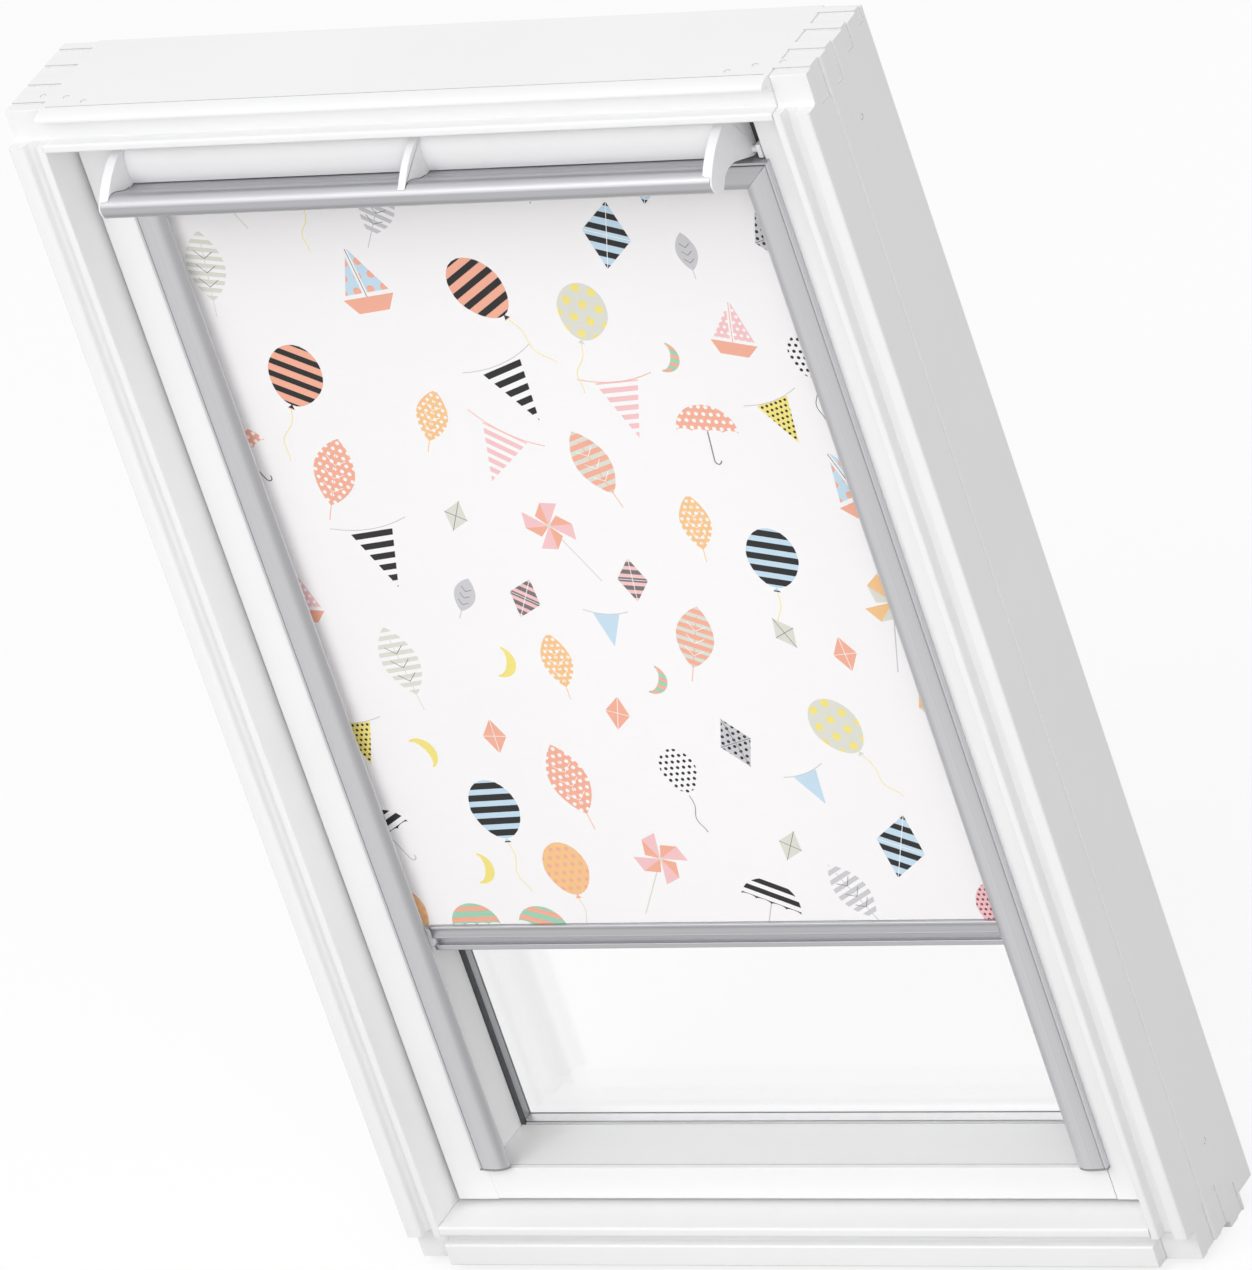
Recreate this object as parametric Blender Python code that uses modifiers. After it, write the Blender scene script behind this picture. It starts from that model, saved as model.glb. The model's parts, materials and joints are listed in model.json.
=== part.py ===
# Centre-pivot roof window with a roller blind fitted in its sash.
# The window stands upright on its sill: X is its width, the room is at -Y, the weather at +Y.
# Lengths are in metres. A depth is counted from the frame's room-side corner face towards the weather,
# and a height from the frame's lower front edge, which is a little above the foot that it stands on.

import math

import bmesh
import bpy
from mathutils import Matrix, Vector

FIT = 0.0003                  # gap between pieces that touch

# Frame
FRAME_WIDTH = 0.780
FRAME_HEIGHT = 1.178
FRAME_DEPTH = 0.1115          # corner face to weather face
LIP_PROUD = 0.0143            # mouldings stand this far in front of the corner face
JAMB_THICK = 0.0350
HEAD_THICK = 0.0363
SILL_THICK = 0.0403
CORNER_WIDTH = 0.0360
CORNER_HEIGHT = 0.0300
CORNER_COVE = 0.0040
LIP_ROUND = 0.0022
JAMB_INNER_LIP = 0.0078
JAMB_OUTER_LIP = 0.0145
LIP_SLANT_WIDTH = 0.0045      # the jamb's outer lip slants down to the groove
LIP_SLANT_DEPTH = 0.0038
SILL_OUTER_LIP = 0.0219
SILL_GROOVE = 0.0090
HEAD_NOSE = 0.0070
HEAD_NOSE_REACH = 0.0169
HEAD_INNER_LIP = 0.0080
LINING_GROOVE_DEPTH = 0.0119
GROOVE_FILLET = 0.0040
SIDE_GROOVE_DEPTH = 0.0015    # mounting line along each jamb's outer side
SIDE_GROOVE_WIDTH = 0.0020
SIDE_GROOVE_AT = 0.0260
FINGER_SHORT = 0.0013         # the corner joints' fingers end this far below the face that they reach
FINGER_DEPTHS = ((0.0106, 0.0260), (0.0405, 0.0526), (0.0720, 0.0820), (0.0990, 0.1080))
HEAD_FINGERS = (HEAD_THICK, HEAD_THICK, 0.0230, 0.0140)
SILL_FINGERS = (SILL_THICK, SILL_THICK, 0.0230)
DRIP_GROOVE_WIDTH = 0.0070
DRIP_GROOVE_DEPTH = 0.0050
DRIP_GROOVE_AT = 0.0300
FOOT_DROP = 0.0070            # the foot under the frame, below the front edge
FOOT_FROM = 0.0570
FOOT_TO = 0.0850
FOOT_REBATE = 0.0095          # behind the foot, above the front edge

# Sash
SASH_GAP = 0.0044
SASH_FACE = 0.0240
SASH_BACK = 0.1068
GLASS_SEAT = 0.0840
STILE_WIDTH = 0.0411
STILE_RISE = 0.0065           # the stiles' reveals come in this much towards the glass
BOTTOM_RAIL = 0.0326
BOTTOM_RAIL_RISE = 0.0052     # the bottom rail's reveal climbs this much towards the glass
TOP_RAIL = 0.0513
TOP_RAIL_FACE = 0.0365
EDGE_ROUND = 0.0015
REBATE = 0.0140               # the glass seat is this much wider than the opening at the glass
PIVOT_DEPTH = 0.0550

# Glazing
GASKET_THICK = 0.0022
GASKET_SIDE_LIP = 0.0045      # the gasket shows this much inside the opening
GASKET_END_LIP = 0.0012
PANE_THICK = 0.0040
PANE_EDGE_GAP = 0.0018
SPACER_THICK = 0.0114
SPACER_WIDTH = 0.0122
COVER_THICK = 0.0016
COVER_BEAD = 0.0018
COVER_OVERLAP = 0.0105        # onto the outer pane

# Pivot hinges
HINGE_LENGTH = 0.0900
HINGE_WIDTH = 0.0380
HINGE_FRAME_THICK = 0.0035
HINGE_SASH_THICK = 0.0043
PIVOT_RADIUS = 0.0080
PIVOT_CLEARANCE = 0.0004
SEAL_THICK = 0.0025
SEAL_WIDTH = 0.0080
SEAL_DEPTH = 0.0880
SEAL_END = 0.0200

# Ventilation slots, filter and latch in the top rail
VENT_IN = 0.0450
VENT_OUT = 0.2400
VENT_HEIGHT = 0.0140
VENT_ABOVE_OPENING = 0.0190
VENT_OUTLET_AT = 0.0620
VENT_OUTLET_DEPTH = 0.0140
FILTER_DEPTH = 0.0100
FILTER_SET_BACK = 0.0035
LATCH_CASE_WIDTH = 0.0634
LATCH_CASE_DEPTH = 0.0194
LATCH_CASE_HEIGHT = 0.0134
LATCH_AT = 0.0620
TONGUE_WIDTH = 0.0180
TONGUE_DEPTH = 0.0080
TONGUE_CLEARANCE = 0.0004
TONGUE_HEIGHT = 0.0118
TONGUE_SLOPE = 0.0025
STRIKER_WIDTH = 0.0794
STRIKER_DEPTH = 0.0234
STRIKER_THICK = 0.0025
KEEPER_WIDTH = 0.0220
KEEPER_DEPTH = 0.0120
KEEPER_POCKET = 0.0103

# Ventilation flap and control bar: outlines are (depth, height above the bar's rear lip)
FLAP_GAP = 0.0057             # below the head
FLAP_RISE = 0.0357            # the flap's top above the bar's rear lip
FLAP_SHELL = 0.0026
FLAP_BACK = 0.0340
FLAP_SIDE_GAP = 0.0110        # from the flap's end brackets to the stiles
BRACKET_THICK = 0.0092
BRACKET_CAP = 0.0015
MIDDLE_BRACKET = 0.0070
BAR_WALL = 0.0025
FLAP_PIVOT_DEPTH = 0.0295
FLAP_PIVOT_HEIGHT = -0.0080
FLAP_PIN_RADIUS = 0.0030
FLAP_PIN_CLEARANCE = 0.0004
FLAP_PIN_LENGTH = 0.0062
PIVOT_BLOCK_WIDTH = 0.0040
PIVOT_BLOCK_HEIGHT = 0.0123
PIVOT_BLOCK_DEPTH = 0.0100
FLAP_SEAL_THICK = 0.0016
FLAP_SEAL_HEIGHT = 0.0080
FLAP_SEAL_BELOW_TOP = 0.0055
FLAP_SEAL_LEG = 0.0430        # its legs reach down this far below the flap's top
FLAP_SEAL_CLEARANCE = 0.0008  # between a leg and the end bracket
FLAP_FACE = ((0.0100, 0.0357), (0.0035, 0.0312), (-0.0003, 0.0237), (-0.0015, 0.0147),
             (-0.0010, 0.0067), (0.0010, 0.0007))
BAR_TOP = ((0.0040, 0.0001), (-0.0060, 0.0001), (-0.0075, 0.0018), (-0.0100, 0.0018), (-0.0150, 0.0032),
           (-0.0220, 0.0067), (-0.0300, 0.0103), (-0.0370, 0.0106), (-0.0425, 0.0079))
BAR_FRONT = ((-0.0452, 0.0032), (-0.0448, -0.0023), (-0.0423, -0.0067), (-0.0380, -0.0093),
             (-0.0320, -0.0101))
BRACKET_FRONT = ((0.0080, 0.0357), (0.0000, 0.0343), (-0.0090, 0.0316), (-0.0180, 0.0273), (-0.0270, 0.0217),
                 (-0.0350, 0.0153), (-0.0410, 0.0092))
BRACKET_GRIP = ((-0.0457, 0.0032), (-0.0452, -0.0027), (-0.0426, -0.0073), (-0.0381, -0.0098),
                (-0.0320, -0.0107), (-0.0285, -0.0090), (-0.0225, -0.0033), (-0.0150, -0.0003))
BRACKET_REAR = ((-0.0080, -0.0004), (-0.0010, -0.0017), (0.0098, -0.0061), (0.0273, -0.0134),
                (0.0310, -0.0136), (0.0340, -0.0110))

# Blind
CHANNEL_WIDTH = 0.0293
CHANNEL_OVERLAP = 0.0045      # onto the face of the stile
CHANNEL_FRONT = 0.0170        # depth of the rounded front's crest
CHANNEL_INNER_EDGE = 0.0218
CHANNEL_OUTER_EDGE = 0.0184
CHANNEL_LINE_AT = 0.0031      # fine groove along the front, from its outer edge
CHANNEL_LINE_WIDTH = 0.0006
CHANNEL_LINE_DEPTH = 0.0008
CHANNEL_BACK = 0.0380
CHANNEL_WALL = 0.0025
CHANNEL_LEGS_AT = 0.0118      # the two legs that hold the guides start this far behind the inner edge
CHANNEL_FOOT = 0.0014         # above the sash opening's lower edge
SLOT_FROM = 0.0293
SLOT_TO = 0.0360
CAP_THICK = 0.0020
CASING_HEIGHT = 0.0270
CASING_BELOW_RAIL = 0.0007
CASING_BACK = 0.0580
CASING_BACK_DROP = 0.0290
CASING_WALL = 0.0016
TUBE_RADIUS = 0.0070
TUBE_WALL = 0.0010
ROLL_THICK = 0.0017
TUBE_DEPTH = 0.0413
TUBE_BELOW_CASING_TOP = 0.0148
TUBE_PAST_FABRIC = 0.0015
PLUG_LENGTH = 0.0115
PLUG_FLANGE = 0.0020
PLUG_FLANGE_RADIUS = 0.0088
AXLE_RADIUS = 0.0025
AXLE_CLEARANCE = 0.0003
AXLE_REACH = 0.0130
END_BRACKET_THICK = 0.0040
END_BRACKET_GAP = 0.0005
END_BRACKET_DEPTH = 0.0280
END_BRACKET_HEIGHT = 0.0249
SPRING_LENGTH = 0.1700
SPRING_THICK = 0.0028
SPINDLE_LENGTH = 0.1870
FABRIC_THICK = 0.0006
FABRIC_IN_CHANNEL = 0.0100
BLIND_DROP = 0.7295           # from the casing's lower edge to the top of the bottom bar
BAR_HEIGHT = 0.0245
BAR_FACE = 0.0278
BAR_BACK = 0.0365
BAR_SIDE_GAP = 0.0006
BAR_GRIP = 0.0050
BAR_GRIP_FROM = 0.0055
BAR_GRIP_TO = 0.0123
GUIDE_LENGTH = 0.0160
GUIDE_HEIGHT = 0.0180
GUIDE_CLEARANCE = 0.0006

# Places that follow from the sizes
HALF = FRAME_WIDTH / 2
JAMB_IN = HALF - JAMB_THICK
HEAD_UNDER = FRAME_HEIGHT - HEAD_THICK
SASH_HALF = JAMB_IN - SASH_GAP
SASH_LOW = SILL_THICK + SASH_GAP
SASH_TOP = HEAD_UNDER - SASH_GAP
OPEN_HALF = SASH_HALF - STILE_WIDTH
OPEN_LOW = SASH_LOW + BOTTOM_RAIL
OPEN_TOP = SASH_TOP - TOP_RAIL
GLASS_LOW = OPEN_LOW + BOTTOM_RAIL_RISE
PIVOT_Z = (SILL_THICK + HEAD_UNDER) / 2
GASKET_BACK = GLASS_SEAT + FIT + GASKET_THICK
OUTER_PANE_FACE = GASKET_BACK + PANE_THICK + SPACER_THICK + 3 * FIT
GLASS_HALF = OPEN_HALF - STILE_RISE
PANE_HALF = GLASS_HALF + REBATE - PANE_EDGE_GAP
PANE_LOW = GLASS_LOW - REBATE + PANE_EDGE_GAP
PANE_TOP = OPEN_TOP + REBATE - PANE_EDGE_GAP
FLAP_HALF = OPEN_HALF - FLAP_SIDE_GAP
BAR_Z = HEAD_UNDER - FLAP_GAP - FLAP_RISE
FLAP_TOP = BAR_Z + FLAP_RISE
FLAP_PIVOT_Z = BAR_Z + FLAP_PIVOT_HEIGHT
CHANNEL_OUT = OPEN_HALF + CHANNEL_OVERLAP
CHANNEL_IN = CHANNEL_OUT - CHANNEL_WIDTH
FABRIC_HALF = CHANNEL_IN + FABRIC_IN_CHANNEL
TUBE_HALF = FABRIC_HALF + TUBE_PAST_FABRIC
CASING_TOP = OPEN_TOP - CASING_BELOW_RAIL
CASING_LOW = CASING_TOP - CASING_HEIGHT
TUBE_Z = CASING_TOP - TUBE_BELOW_CASING_TOP
ROLL_RADIUS = TUBE_RADIUS + FIT + ROLL_THICK
FABRIC_BACK = TUBE_DEPTH - ROLL_RADIUS - FIT
BAR_TOP_Z = CASING_LOW - BLIND_DROP
LATCH_TOP = SASH_TOP - FIT


def y_at(depth):
    return FACE_Y + depth


def z_at(height):
    return FOOT_DROP + height


# How far out a stile's sloping reveal is at a depth
def reveal_at(depth):
    front = SASH_FACE + EDGE_ROUND
    return OPEN_HALF - STILE_RISE * max(depth - front, 0) / (GLASS_SEAT - front)


def clear_scene():
    for item in list(bpy.data.objects):
        bpy.data.objects.remove(item, do_unlink=True)


def new_collection(name):
    collection = bpy.data.collections.new(name)
    bpy.context.scene.collection.children.link(collection)
    return collection


def material(name, colour, roughness, metallic=0.0, alpha=1.0):
    made = bpy.data.materials.new(name)
    made.use_nodes = True
    shader = made.node_tree.nodes["Principled BSDF"]
    shader.inputs["Base Color"].default_value = (*colour, 1.0)
    shader.inputs["Roughness"].default_value = roughness
    shader.inputs["Metallic"].default_value = metallic
    shader.inputs["Alpha"].default_value = alpha
    return made


# Points of an ellipse's arc, angles in degrees
def arc(u, v, radius_u, radius_v, start, end, steps):
    angles = [math.radians(start + (end - start) * i / steps) for i in range(steps + 1)]
    return [(u + radius_u * math.cos(a), v + radius_v * math.sin(a)) for a in angles]


# A smooth line through the points, as a Catmull-Rom spline
def smooth(points, steps):
    line = []
    last = len(points) - 1
    for i in range(last):
        a, b, c, d = (Vector(points[min(max(i + k, 0), last)]) for k in (-1, 0, 1, 2))
        for step in range(steps):
            t = step / steps
            line.append(tuple(0.5 * (2 * b + (c - a) * t + (2 * a - 5 * b + 4 * c - d) * t ** 2
                                     + (3 * b - a - 3 * c + d) * t ** 3)))
    line.append(tuple(points[last]))
    return line


# The line moved sideways: a positive distance is to the left of its direction
def beside(points, distance):
    moved = []
    for i, point in enumerate(points):
        before = Vector(points[max(i - 1, 0)])
        after = Vector(points[min(i + 1, len(points) - 1)])
        along = (after - before).normalized()
        moved.append((point[0] - along.y * distance, point[1] + along.x * distance))
    return moved


def rounded_box(u0, u1, v0, v1, radius, steps=4):
    return (arc(u1 - radius, v1 - radius, radius, radius, 0, 90, steps)
            + arc(u0 + radius, v1 - radius, radius, radius, 90, 180, steps)
            + arc(u0 + radius, v0 + radius, radius, radius, 180, 270, steps)
            + arc(u1 - radius, v0 + radius, radius, radius, 270, 360, steps))


# Turns (u, v, along) into (x, y, z) for a section that runs along X, Y or Z
ALONG = {
    "X": Matrix(((0, 0, 1, 0), (1, 0, 0, 0), (0, 1, 0, 0), (0, 0, 0, 1))),
    "Y": Matrix(((1, 0, 0, 0), (0, 0, -1, 0), (0, 1, 0, 0), (0, 0, 0, 1))),
    "Z": Matrix.Identity(4),
}


def finish(name, mesh, collection, surface=None):
    low = Vector([min(v.co[i] for v in mesh.vertices) for i in range(3)])
    high = Vector([max(v.co[i] for v in mesh.vertices) for i in range(3)])
    centre = (low + high) / 2
    mesh.transform(Matrix.Translation(-centre))
    mesh.name = name
    item = bpy.data.objects.new(name, mesh)
    item.location = centre
    collection.objects.link(item)
    if surface:
        mesh.materials.append(surface)
    return item


# A flat outline run along an axis. In the section, a depth is counted from the corner face.
def section_mesh(outline, axis, start, end):
    curve = bpy.data.curves.new("section", "CURVE")
    curve.dimensions = "2D"
    curve.fill_mode = "BOTH"
    curve.extrude = abs(end - start) / 2
    spline = curve.splines.new("POLY")
    spline.points.add(len(outline) - 1)
    for point, (u, v) in zip(spline.points, outline):
        point.co = (u, v, 0, 1)
    spline.use_cyclic_u = True
    spline.use_smooth = False
    holder = bpy.data.objects.new("section", curve)
    bpy.context.scene.collection.objects.link(holder)
    bpy.context.view_layer.update()
    depsgraph = bpy.context.evaluated_depsgraph_get()
    mesh = bpy.data.meshes.new_from_object(holder.evaluated_get(depsgraph))
    bpy.data.objects.remove(holder)
    shape = bmesh.new()
    shape.from_mesh(mesh)
    bmesh.ops.remove_doubles(shape, verts=shape.verts, dist=1e-6)
    bmesh.ops.translate(shape, verts=shape.verts, vec=(0, 0, (start + end) / 2))
    if axis == "Y":
        bmesh.ops.scale(shape, verts=shape.verts, vec=(1, 1, -1))
    bmesh.ops.transform(shape, matrix=ALONG[axis], verts=shape.verts)
    bmesh.ops.translate(shape, verts=shape.verts, vec=(0, FACE_Y, FOOT_DROP))
    bmesh.ops.recalc_face_normals(shape, faces=shape.faces)
    shape.to_mesh(mesh)
    shape.free()
    return mesh


def section(name, outline, axis, start, end, surface=None):
    collection = PARTS if surface else CUTTERS
    item = finish(name, section_mesh(outline, axis, start, end), collection, surface)
    if not surface:
        item.hide_render = True
        item.display_type = "WIRE"
    return item


# A box from its lowest to its highest corner, as (x, depth, height)
def box(name, low, high, surface=None, bevel=0.0):
    shape = bmesh.new()
    bmesh.ops.create_cube(shape, size=1.0)
    size = [b - a for a, b in zip(low, high)]
    middle = [(a + b) / 2 for a, b in zip(low, high)]
    bmesh.ops.scale(shape, verts=shape.verts, vec=size)
    bmesh.ops.translate(shape, verts=shape.verts, vec=(middle[0], y_at(middle[1]), z_at(middle[2])))
    mesh = bpy.data.meshes.new(name)
    shape.to_mesh(mesh)
    shape.free()
    item = finish(name, mesh, PARTS if surface else CUTTERS, surface)
    if not surface:
        item.hide_render = True
        item.display_type = "WIRE"
    if bevel:
        edges = item.modifiers.new("edges", "BEVEL")
        edges.width = bevel
        edges.segments = 2
        edges.limit_method = "ANGLE"
    return item


# A round bar along X
def rod(name, depth, z, radius, start, end, surface=None, sides=32):
    shape = bmesh.new()
    bmesh.ops.create_cone(shape, cap_ends=True, segments=sides, radius1=radius, radius2=radius,
                          depth=abs(end - start))
    bmesh.ops.rotate(shape, verts=shape.verts, matrix=Matrix.Rotation(math.pi / 2, 3, "Y"))
    bmesh.ops.translate(shape, verts=shape.verts, vec=((start + end) / 2, y_at(depth), z_at(z)))
    mesh = bpy.data.meshes.new(name)
    shape.to_mesh(mesh)
    shape.free()
    item = finish(name, mesh, PARTS if surface else CUTTERS, surface)
    if not surface:
        item.hide_render = True
        item.display_type = "WIRE"
    mesh.shade_smooth()
    mesh.set_sharp_from_angle(angle=math.radians(30))
    return item


# A sleeve along X, turned from its wall's section
def sleeve(name, depth, z, inner, outer, start, end, surface, sides=32):
    profile = bpy.data.meshes.new(name)
    wall = [(start, 0, inner), (end, 0, inner), (end, 0, outer), (start, 0, outer)]
    profile.from_pydata([Vector(p) - Vector(((start + end) / 2, 0, 0)) for p in wall],
                        [(0, 1), (1, 2), (2, 3), (3, 0)], [])
    item = bpy.data.objects.new(name, profile)
    item.location = ((start + end) / 2, y_at(depth), z_at(z))
    PARTS.objects.link(item)
    turn = item.modifiers.new("turn", "SCREW")
    turn.axis = "X"
    turn.steps = sides
    turn.render_steps = sides
    turn.use_merge_vertices = True
    turn.merge_threshold = 0.00001
    turn.use_normal_calculate = True
    turn.use_normal_flip = True
    profile.materials.append(surface)
    return item


def combine(item, other, operation):
    step = item.modifiers.new(other.name, "BOOLEAN")
    step.operation = operation
    step.object = other
    step.solver = "EXACT"


def cut(item, *cutters):
    for cutter in cutters:
        combine(item, cutter, "DIFFERENCE")


def join(item, *others):
    for other in others:
        combine(item, other, "UNION")


def side_name(side):
    return "left" if side < 0 else "right"


# The same section on the other side of the window
def on_side(outline, side):
    return [(u * side, v) for u, v in outline]


# What the head's and the sill's fingers take out of a jamb
def finger_slots(side):
    inner = side * (JAMB_IN - 2 * FIT)
    outer = side * (HALF + 0.01)
    cutters = []
    for tag, heights in (("head", HEAD_FINGERS), ("sill", SILL_FINGERS)):
        for number, ((near, far), height) in enumerate(zip(FINGER_DEPTHS, heights)):
            low, high = (FRAME_HEIGHT - height - FIT, FRAME_HEIGHT + 0.01)
            if tag == "sill":
                low, high = (-0.02, height + FIT)
            cutters.append(box(f"cut_{tag}_finger_{side_name(side)}_{number}",
                               (min(inner, outer), near - FIT, low), (max(inner, outer), far + FIT, high)))
    return cutters


# What is cut away round the fingers at both ends of the head or the sill
def end_cuts(tag, heights, low, high):
    edges = [-0.03] + [edge for pair in FINGER_DEPTHS[:len(heights)] for edge in pair] + [FRAME_DEPTH + 0.01]
    cutters = []
    for side in (-1, 1):
        name = f"{tag}_{side_name(side)}"
        near_x, far_x = sorted((side * (JAMB_IN - FIT), side * (HALF + 0.01)))
        for number in range(0, len(edges), 2):
            cutters.append(box(f"cut_{name}_gap_{number // 2}", (near_x, edges[number], low),
                               (far_x, edges[number + 1], high)))
        for number, height in enumerate(heights):
            if height == max(heights):
                continue
            near, far = FINGER_DEPTHS[number]
            bottom, top = (low, FRAME_HEIGHT - height) if tag == "head" else (height, high)
            cutters.append(box(f"cut_{name}_short_{number}", (near_x, near - FIT, bottom),
                               (far_x, far + FIT, top)))
    return cutters


def rounded_lip(near, far):
    front = -LIP_PROUD
    step = LIP_ROUND
    return (arc(near + step, front + step, step, step, 180, 270, 4)
            + arc(far - step, front + step, step, step, 270, 360, 4))


def build_jambs(paint):
    groove_at = JAMB_IN + JAMB_INNER_LIP
    lip_at = HALF - JAMB_OUTER_LIP
    front = -LIP_PROUD
    floor = front + LINING_GROOVE_DEPTH
    outline = [(JAMB_IN, FRAME_DEPTH)]
    outline += rounded_lip(JAMB_IN, groove_at)
    outline += [(groove_at, floor)]
    outline += arc(lip_at - GROOVE_FILLET, floor - GROOVE_FILLET, GROOVE_FILLET, GROOVE_FILLET, 90, 0, 5)
    outline += arc(lip_at + LIP_SLANT_WIDTH, front + LIP_SLANT_DEPTH, LIP_SLANT_WIDTH, LIP_SLANT_DEPTH,
                   180, 270, 5)
    outline += arc(HALF - LIP_ROUND, front + LIP_ROUND, LIP_ROUND, LIP_ROUND, 270, 360, 4)
    outline += [(HALF, SIDE_GROOVE_AT), (HALF - SIDE_GROOVE_DEPTH, SIDE_GROOVE_AT),
                (HALF - SIDE_GROOVE_DEPTH, SIDE_GROOVE_AT + SIDE_GROOVE_WIDTH),
                (HALF, SIDE_GROOVE_AT + SIDE_GROOVE_WIDTH), (HALF, FRAME_DEPTH)]
    for side in (-1, 1):
        name = side_name(side)
        jamb = section(f"frame_jamb_{name}", on_side(outline, side), "Z", -FOOT_DROP,
                       FRAME_HEIGHT - FINGER_SHORT, paint)
        near = side * (JAMB_IN - 0.01)
        far = side * (HALF + 0.01)
        for end, z, away in (("low", CORNER_HEIGHT, -1), ("high", FRAME_HEIGHT - CORNER_HEIGHT, 1)):
            cove = arc(-CORNER_COVE, z + away * CORNER_COVE, CORNER_COVE, CORNER_COVE, -90 * away, 0, 5)
            corner = [(-0.03, z)] + cove + [(0, z + away * 0.04), (-0.03, z + away * 0.04)]
            cut(jamb, section(f"cut_corner_{end}_{name}", corner, "X", near, far))
        hinge = hinge_outline(HINGE_WIDTH + 2 * FIT, HINGE_LENGTH + 2 * FIT)
        inner = side * (JAMB_IN - 0.01)
        outer = side * (JAMB_IN + HINGE_FRAME_THICK + FIT)
        cut(jamb, section(f"cut_frame_hinge_{name}", hinge, "X", inner, outer))
        cut(jamb, *finger_slots(side))
        near_x, far_x = sorted((near, far))
        cut(jamb, box(f"cut_jamb_toe_{name}", (near_x, -0.03, -0.02), (far_x, FOOT_FROM, 0)))
        cut(jamb, box(f"cut_jamb_heel_{name}", (near_x, FOOT_TO, -0.02),
                      (far_x, FRAME_DEPTH + 0.01, FOOT_REBATE)))


def build_head(paint):
    nose_low = FRAME_HEIGHT - HEAD_NOSE
    groove_low = HEAD_UNDER + HEAD_INNER_LIP
    floor = -LIP_PROUD + LINING_GROOVE_DEPTH
    nose_rise = HEAD_NOSE - LIP_ROUND
    outline = [(FRAME_DEPTH, HEAD_UNDER), (FRAME_DEPTH, FRAME_HEIGHT)]
    outline += arc(-LIP_PROUD + HEAD_NOSE_REACH, FRAME_HEIGHT - nose_rise, HEAD_NOSE_REACH, nose_rise,
                   90, 180, 10)
    outline += [(-LIP_PROUD, nose_low)]
    outline += arc(floor - GROOVE_FILLET, nose_low - GROOVE_FILLET, GROOVE_FILLET, GROOVE_FILLET, 90, 0, 5)
    outline += [(floor, groove_low)]
    outline += [(v, u) for u, v in reversed(rounded_lip(HEAD_UNDER, groove_low))]
    head = section("frame_head", outline, "X", -HALF + FINGER_SHORT, HALF - FINGER_SHORT, paint)
    cut(head, *end_cuts("head", HEAD_FINGERS, HEAD_UNDER - 0.01, FRAME_HEIGHT + 0.01))
    for side in (-1, 1):
        name = side_name(side)
        edge = HALF - CORNER_WIDTH
        cove = arc(edge + CORNER_COVE, -CORNER_COVE, CORNER_COVE, CORNER_COVE, 180, 90, 5)
        corner = [(edge, -0.03)] + cove + [(HALF + 0.01, 0), (HALF + 0.01, -0.03)]
        cut(head, section(f"cut_nose_end_{name}", on_side(corner, side), "Z",
                          groove_low + 0.0002, FRAME_HEIGHT + 0.01))
    half_striker = STRIKER_WIDTH / 2 + FIT
    cut(head, box("cut_striker", (-half_striker, LATCH_AT - STRIKER_DEPTH / 2 - FIT, HEAD_UNDER - 0.01),
                  (half_striker, LATCH_AT + STRIKER_DEPTH / 2 + FIT, HEAD_UNDER + STRIKER_THICK + FIT)))
    cut(head, box("cut_keeper_pocket", (-KEEPER_WIDTH / 2, LATCH_AT - KEEPER_DEPTH / 2, HEAD_UNDER),
                  (KEEPER_WIDTH / 2, LATCH_AT + KEEPER_DEPTH / 2, HEAD_UNDER + KEEPER_POCKET)))


def build_sill(paint):
    groove_low = SILL_OUTER_LIP
    groove_high = SILL_OUTER_LIP + SILL_GROOVE
    floor = -LIP_PROUD + LINING_GROOVE_DEPTH
    outline = [(v, u) for u, v in rounded_lip(0, groove_low)]
    outline += arc(floor - GROOVE_FILLET, groove_low + GROOVE_FILLET, GROOVE_FILLET, GROOVE_FILLET,
                   270, 360, 5)
    outline += [(floor, groove_high)]
    outline += [(v, u) for u, v in rounded_lip(groove_high, SILL_THICK)]
    outline += [(FRAME_DEPTH, SILL_THICK), (FRAME_DEPTH, FOOT_REBATE), (FOOT_TO, FOOT_REBATE),
                (FOOT_TO, -FOOT_DROP), (FOOT_FROM, -FOOT_DROP), (FOOT_FROM, 0),
                (DRIP_GROOVE_AT + DRIP_GROOVE_WIDTH, 0),
                (DRIP_GROOVE_AT + DRIP_GROOVE_WIDTH, DRIP_GROOVE_DEPTH),
                (DRIP_GROOVE_AT, DRIP_GROOVE_DEPTH), (DRIP_GROOVE_AT, 0)]
    sill = section("frame_sill", outline, "X", -HALF + FINGER_SHORT, HALF - FINGER_SHORT, paint)
    cut(sill, *end_cuts("sill", SILL_FINGERS, -0.02, SILL_THICK + 0.01))
    for side in (-1, 1):
        name = side_name(side)
        edge = HALF - CORNER_WIDTH
        cove = arc(edge + CORNER_COVE, -CORNER_COVE, CORNER_COVE, CORNER_COVE, 180, 90, 5)
        corner = [(edge, -0.03)] + cove + [(HALF + 0.01, 0), (HALF + 0.01, -0.03)]
        cut(sill, section(f"cut_sill_end_{name}", on_side(corner, side), "Z", -0.01, groove_high - 0.0002))


def hinge_outline(width, length):
    return rounded_box(PIVOT_DEPTH - width / 2, PIVOT_DEPTH + width / 2,
                       PIVOT_Z - length / 2, PIVOT_Z + length / 2, width / 4)


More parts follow.
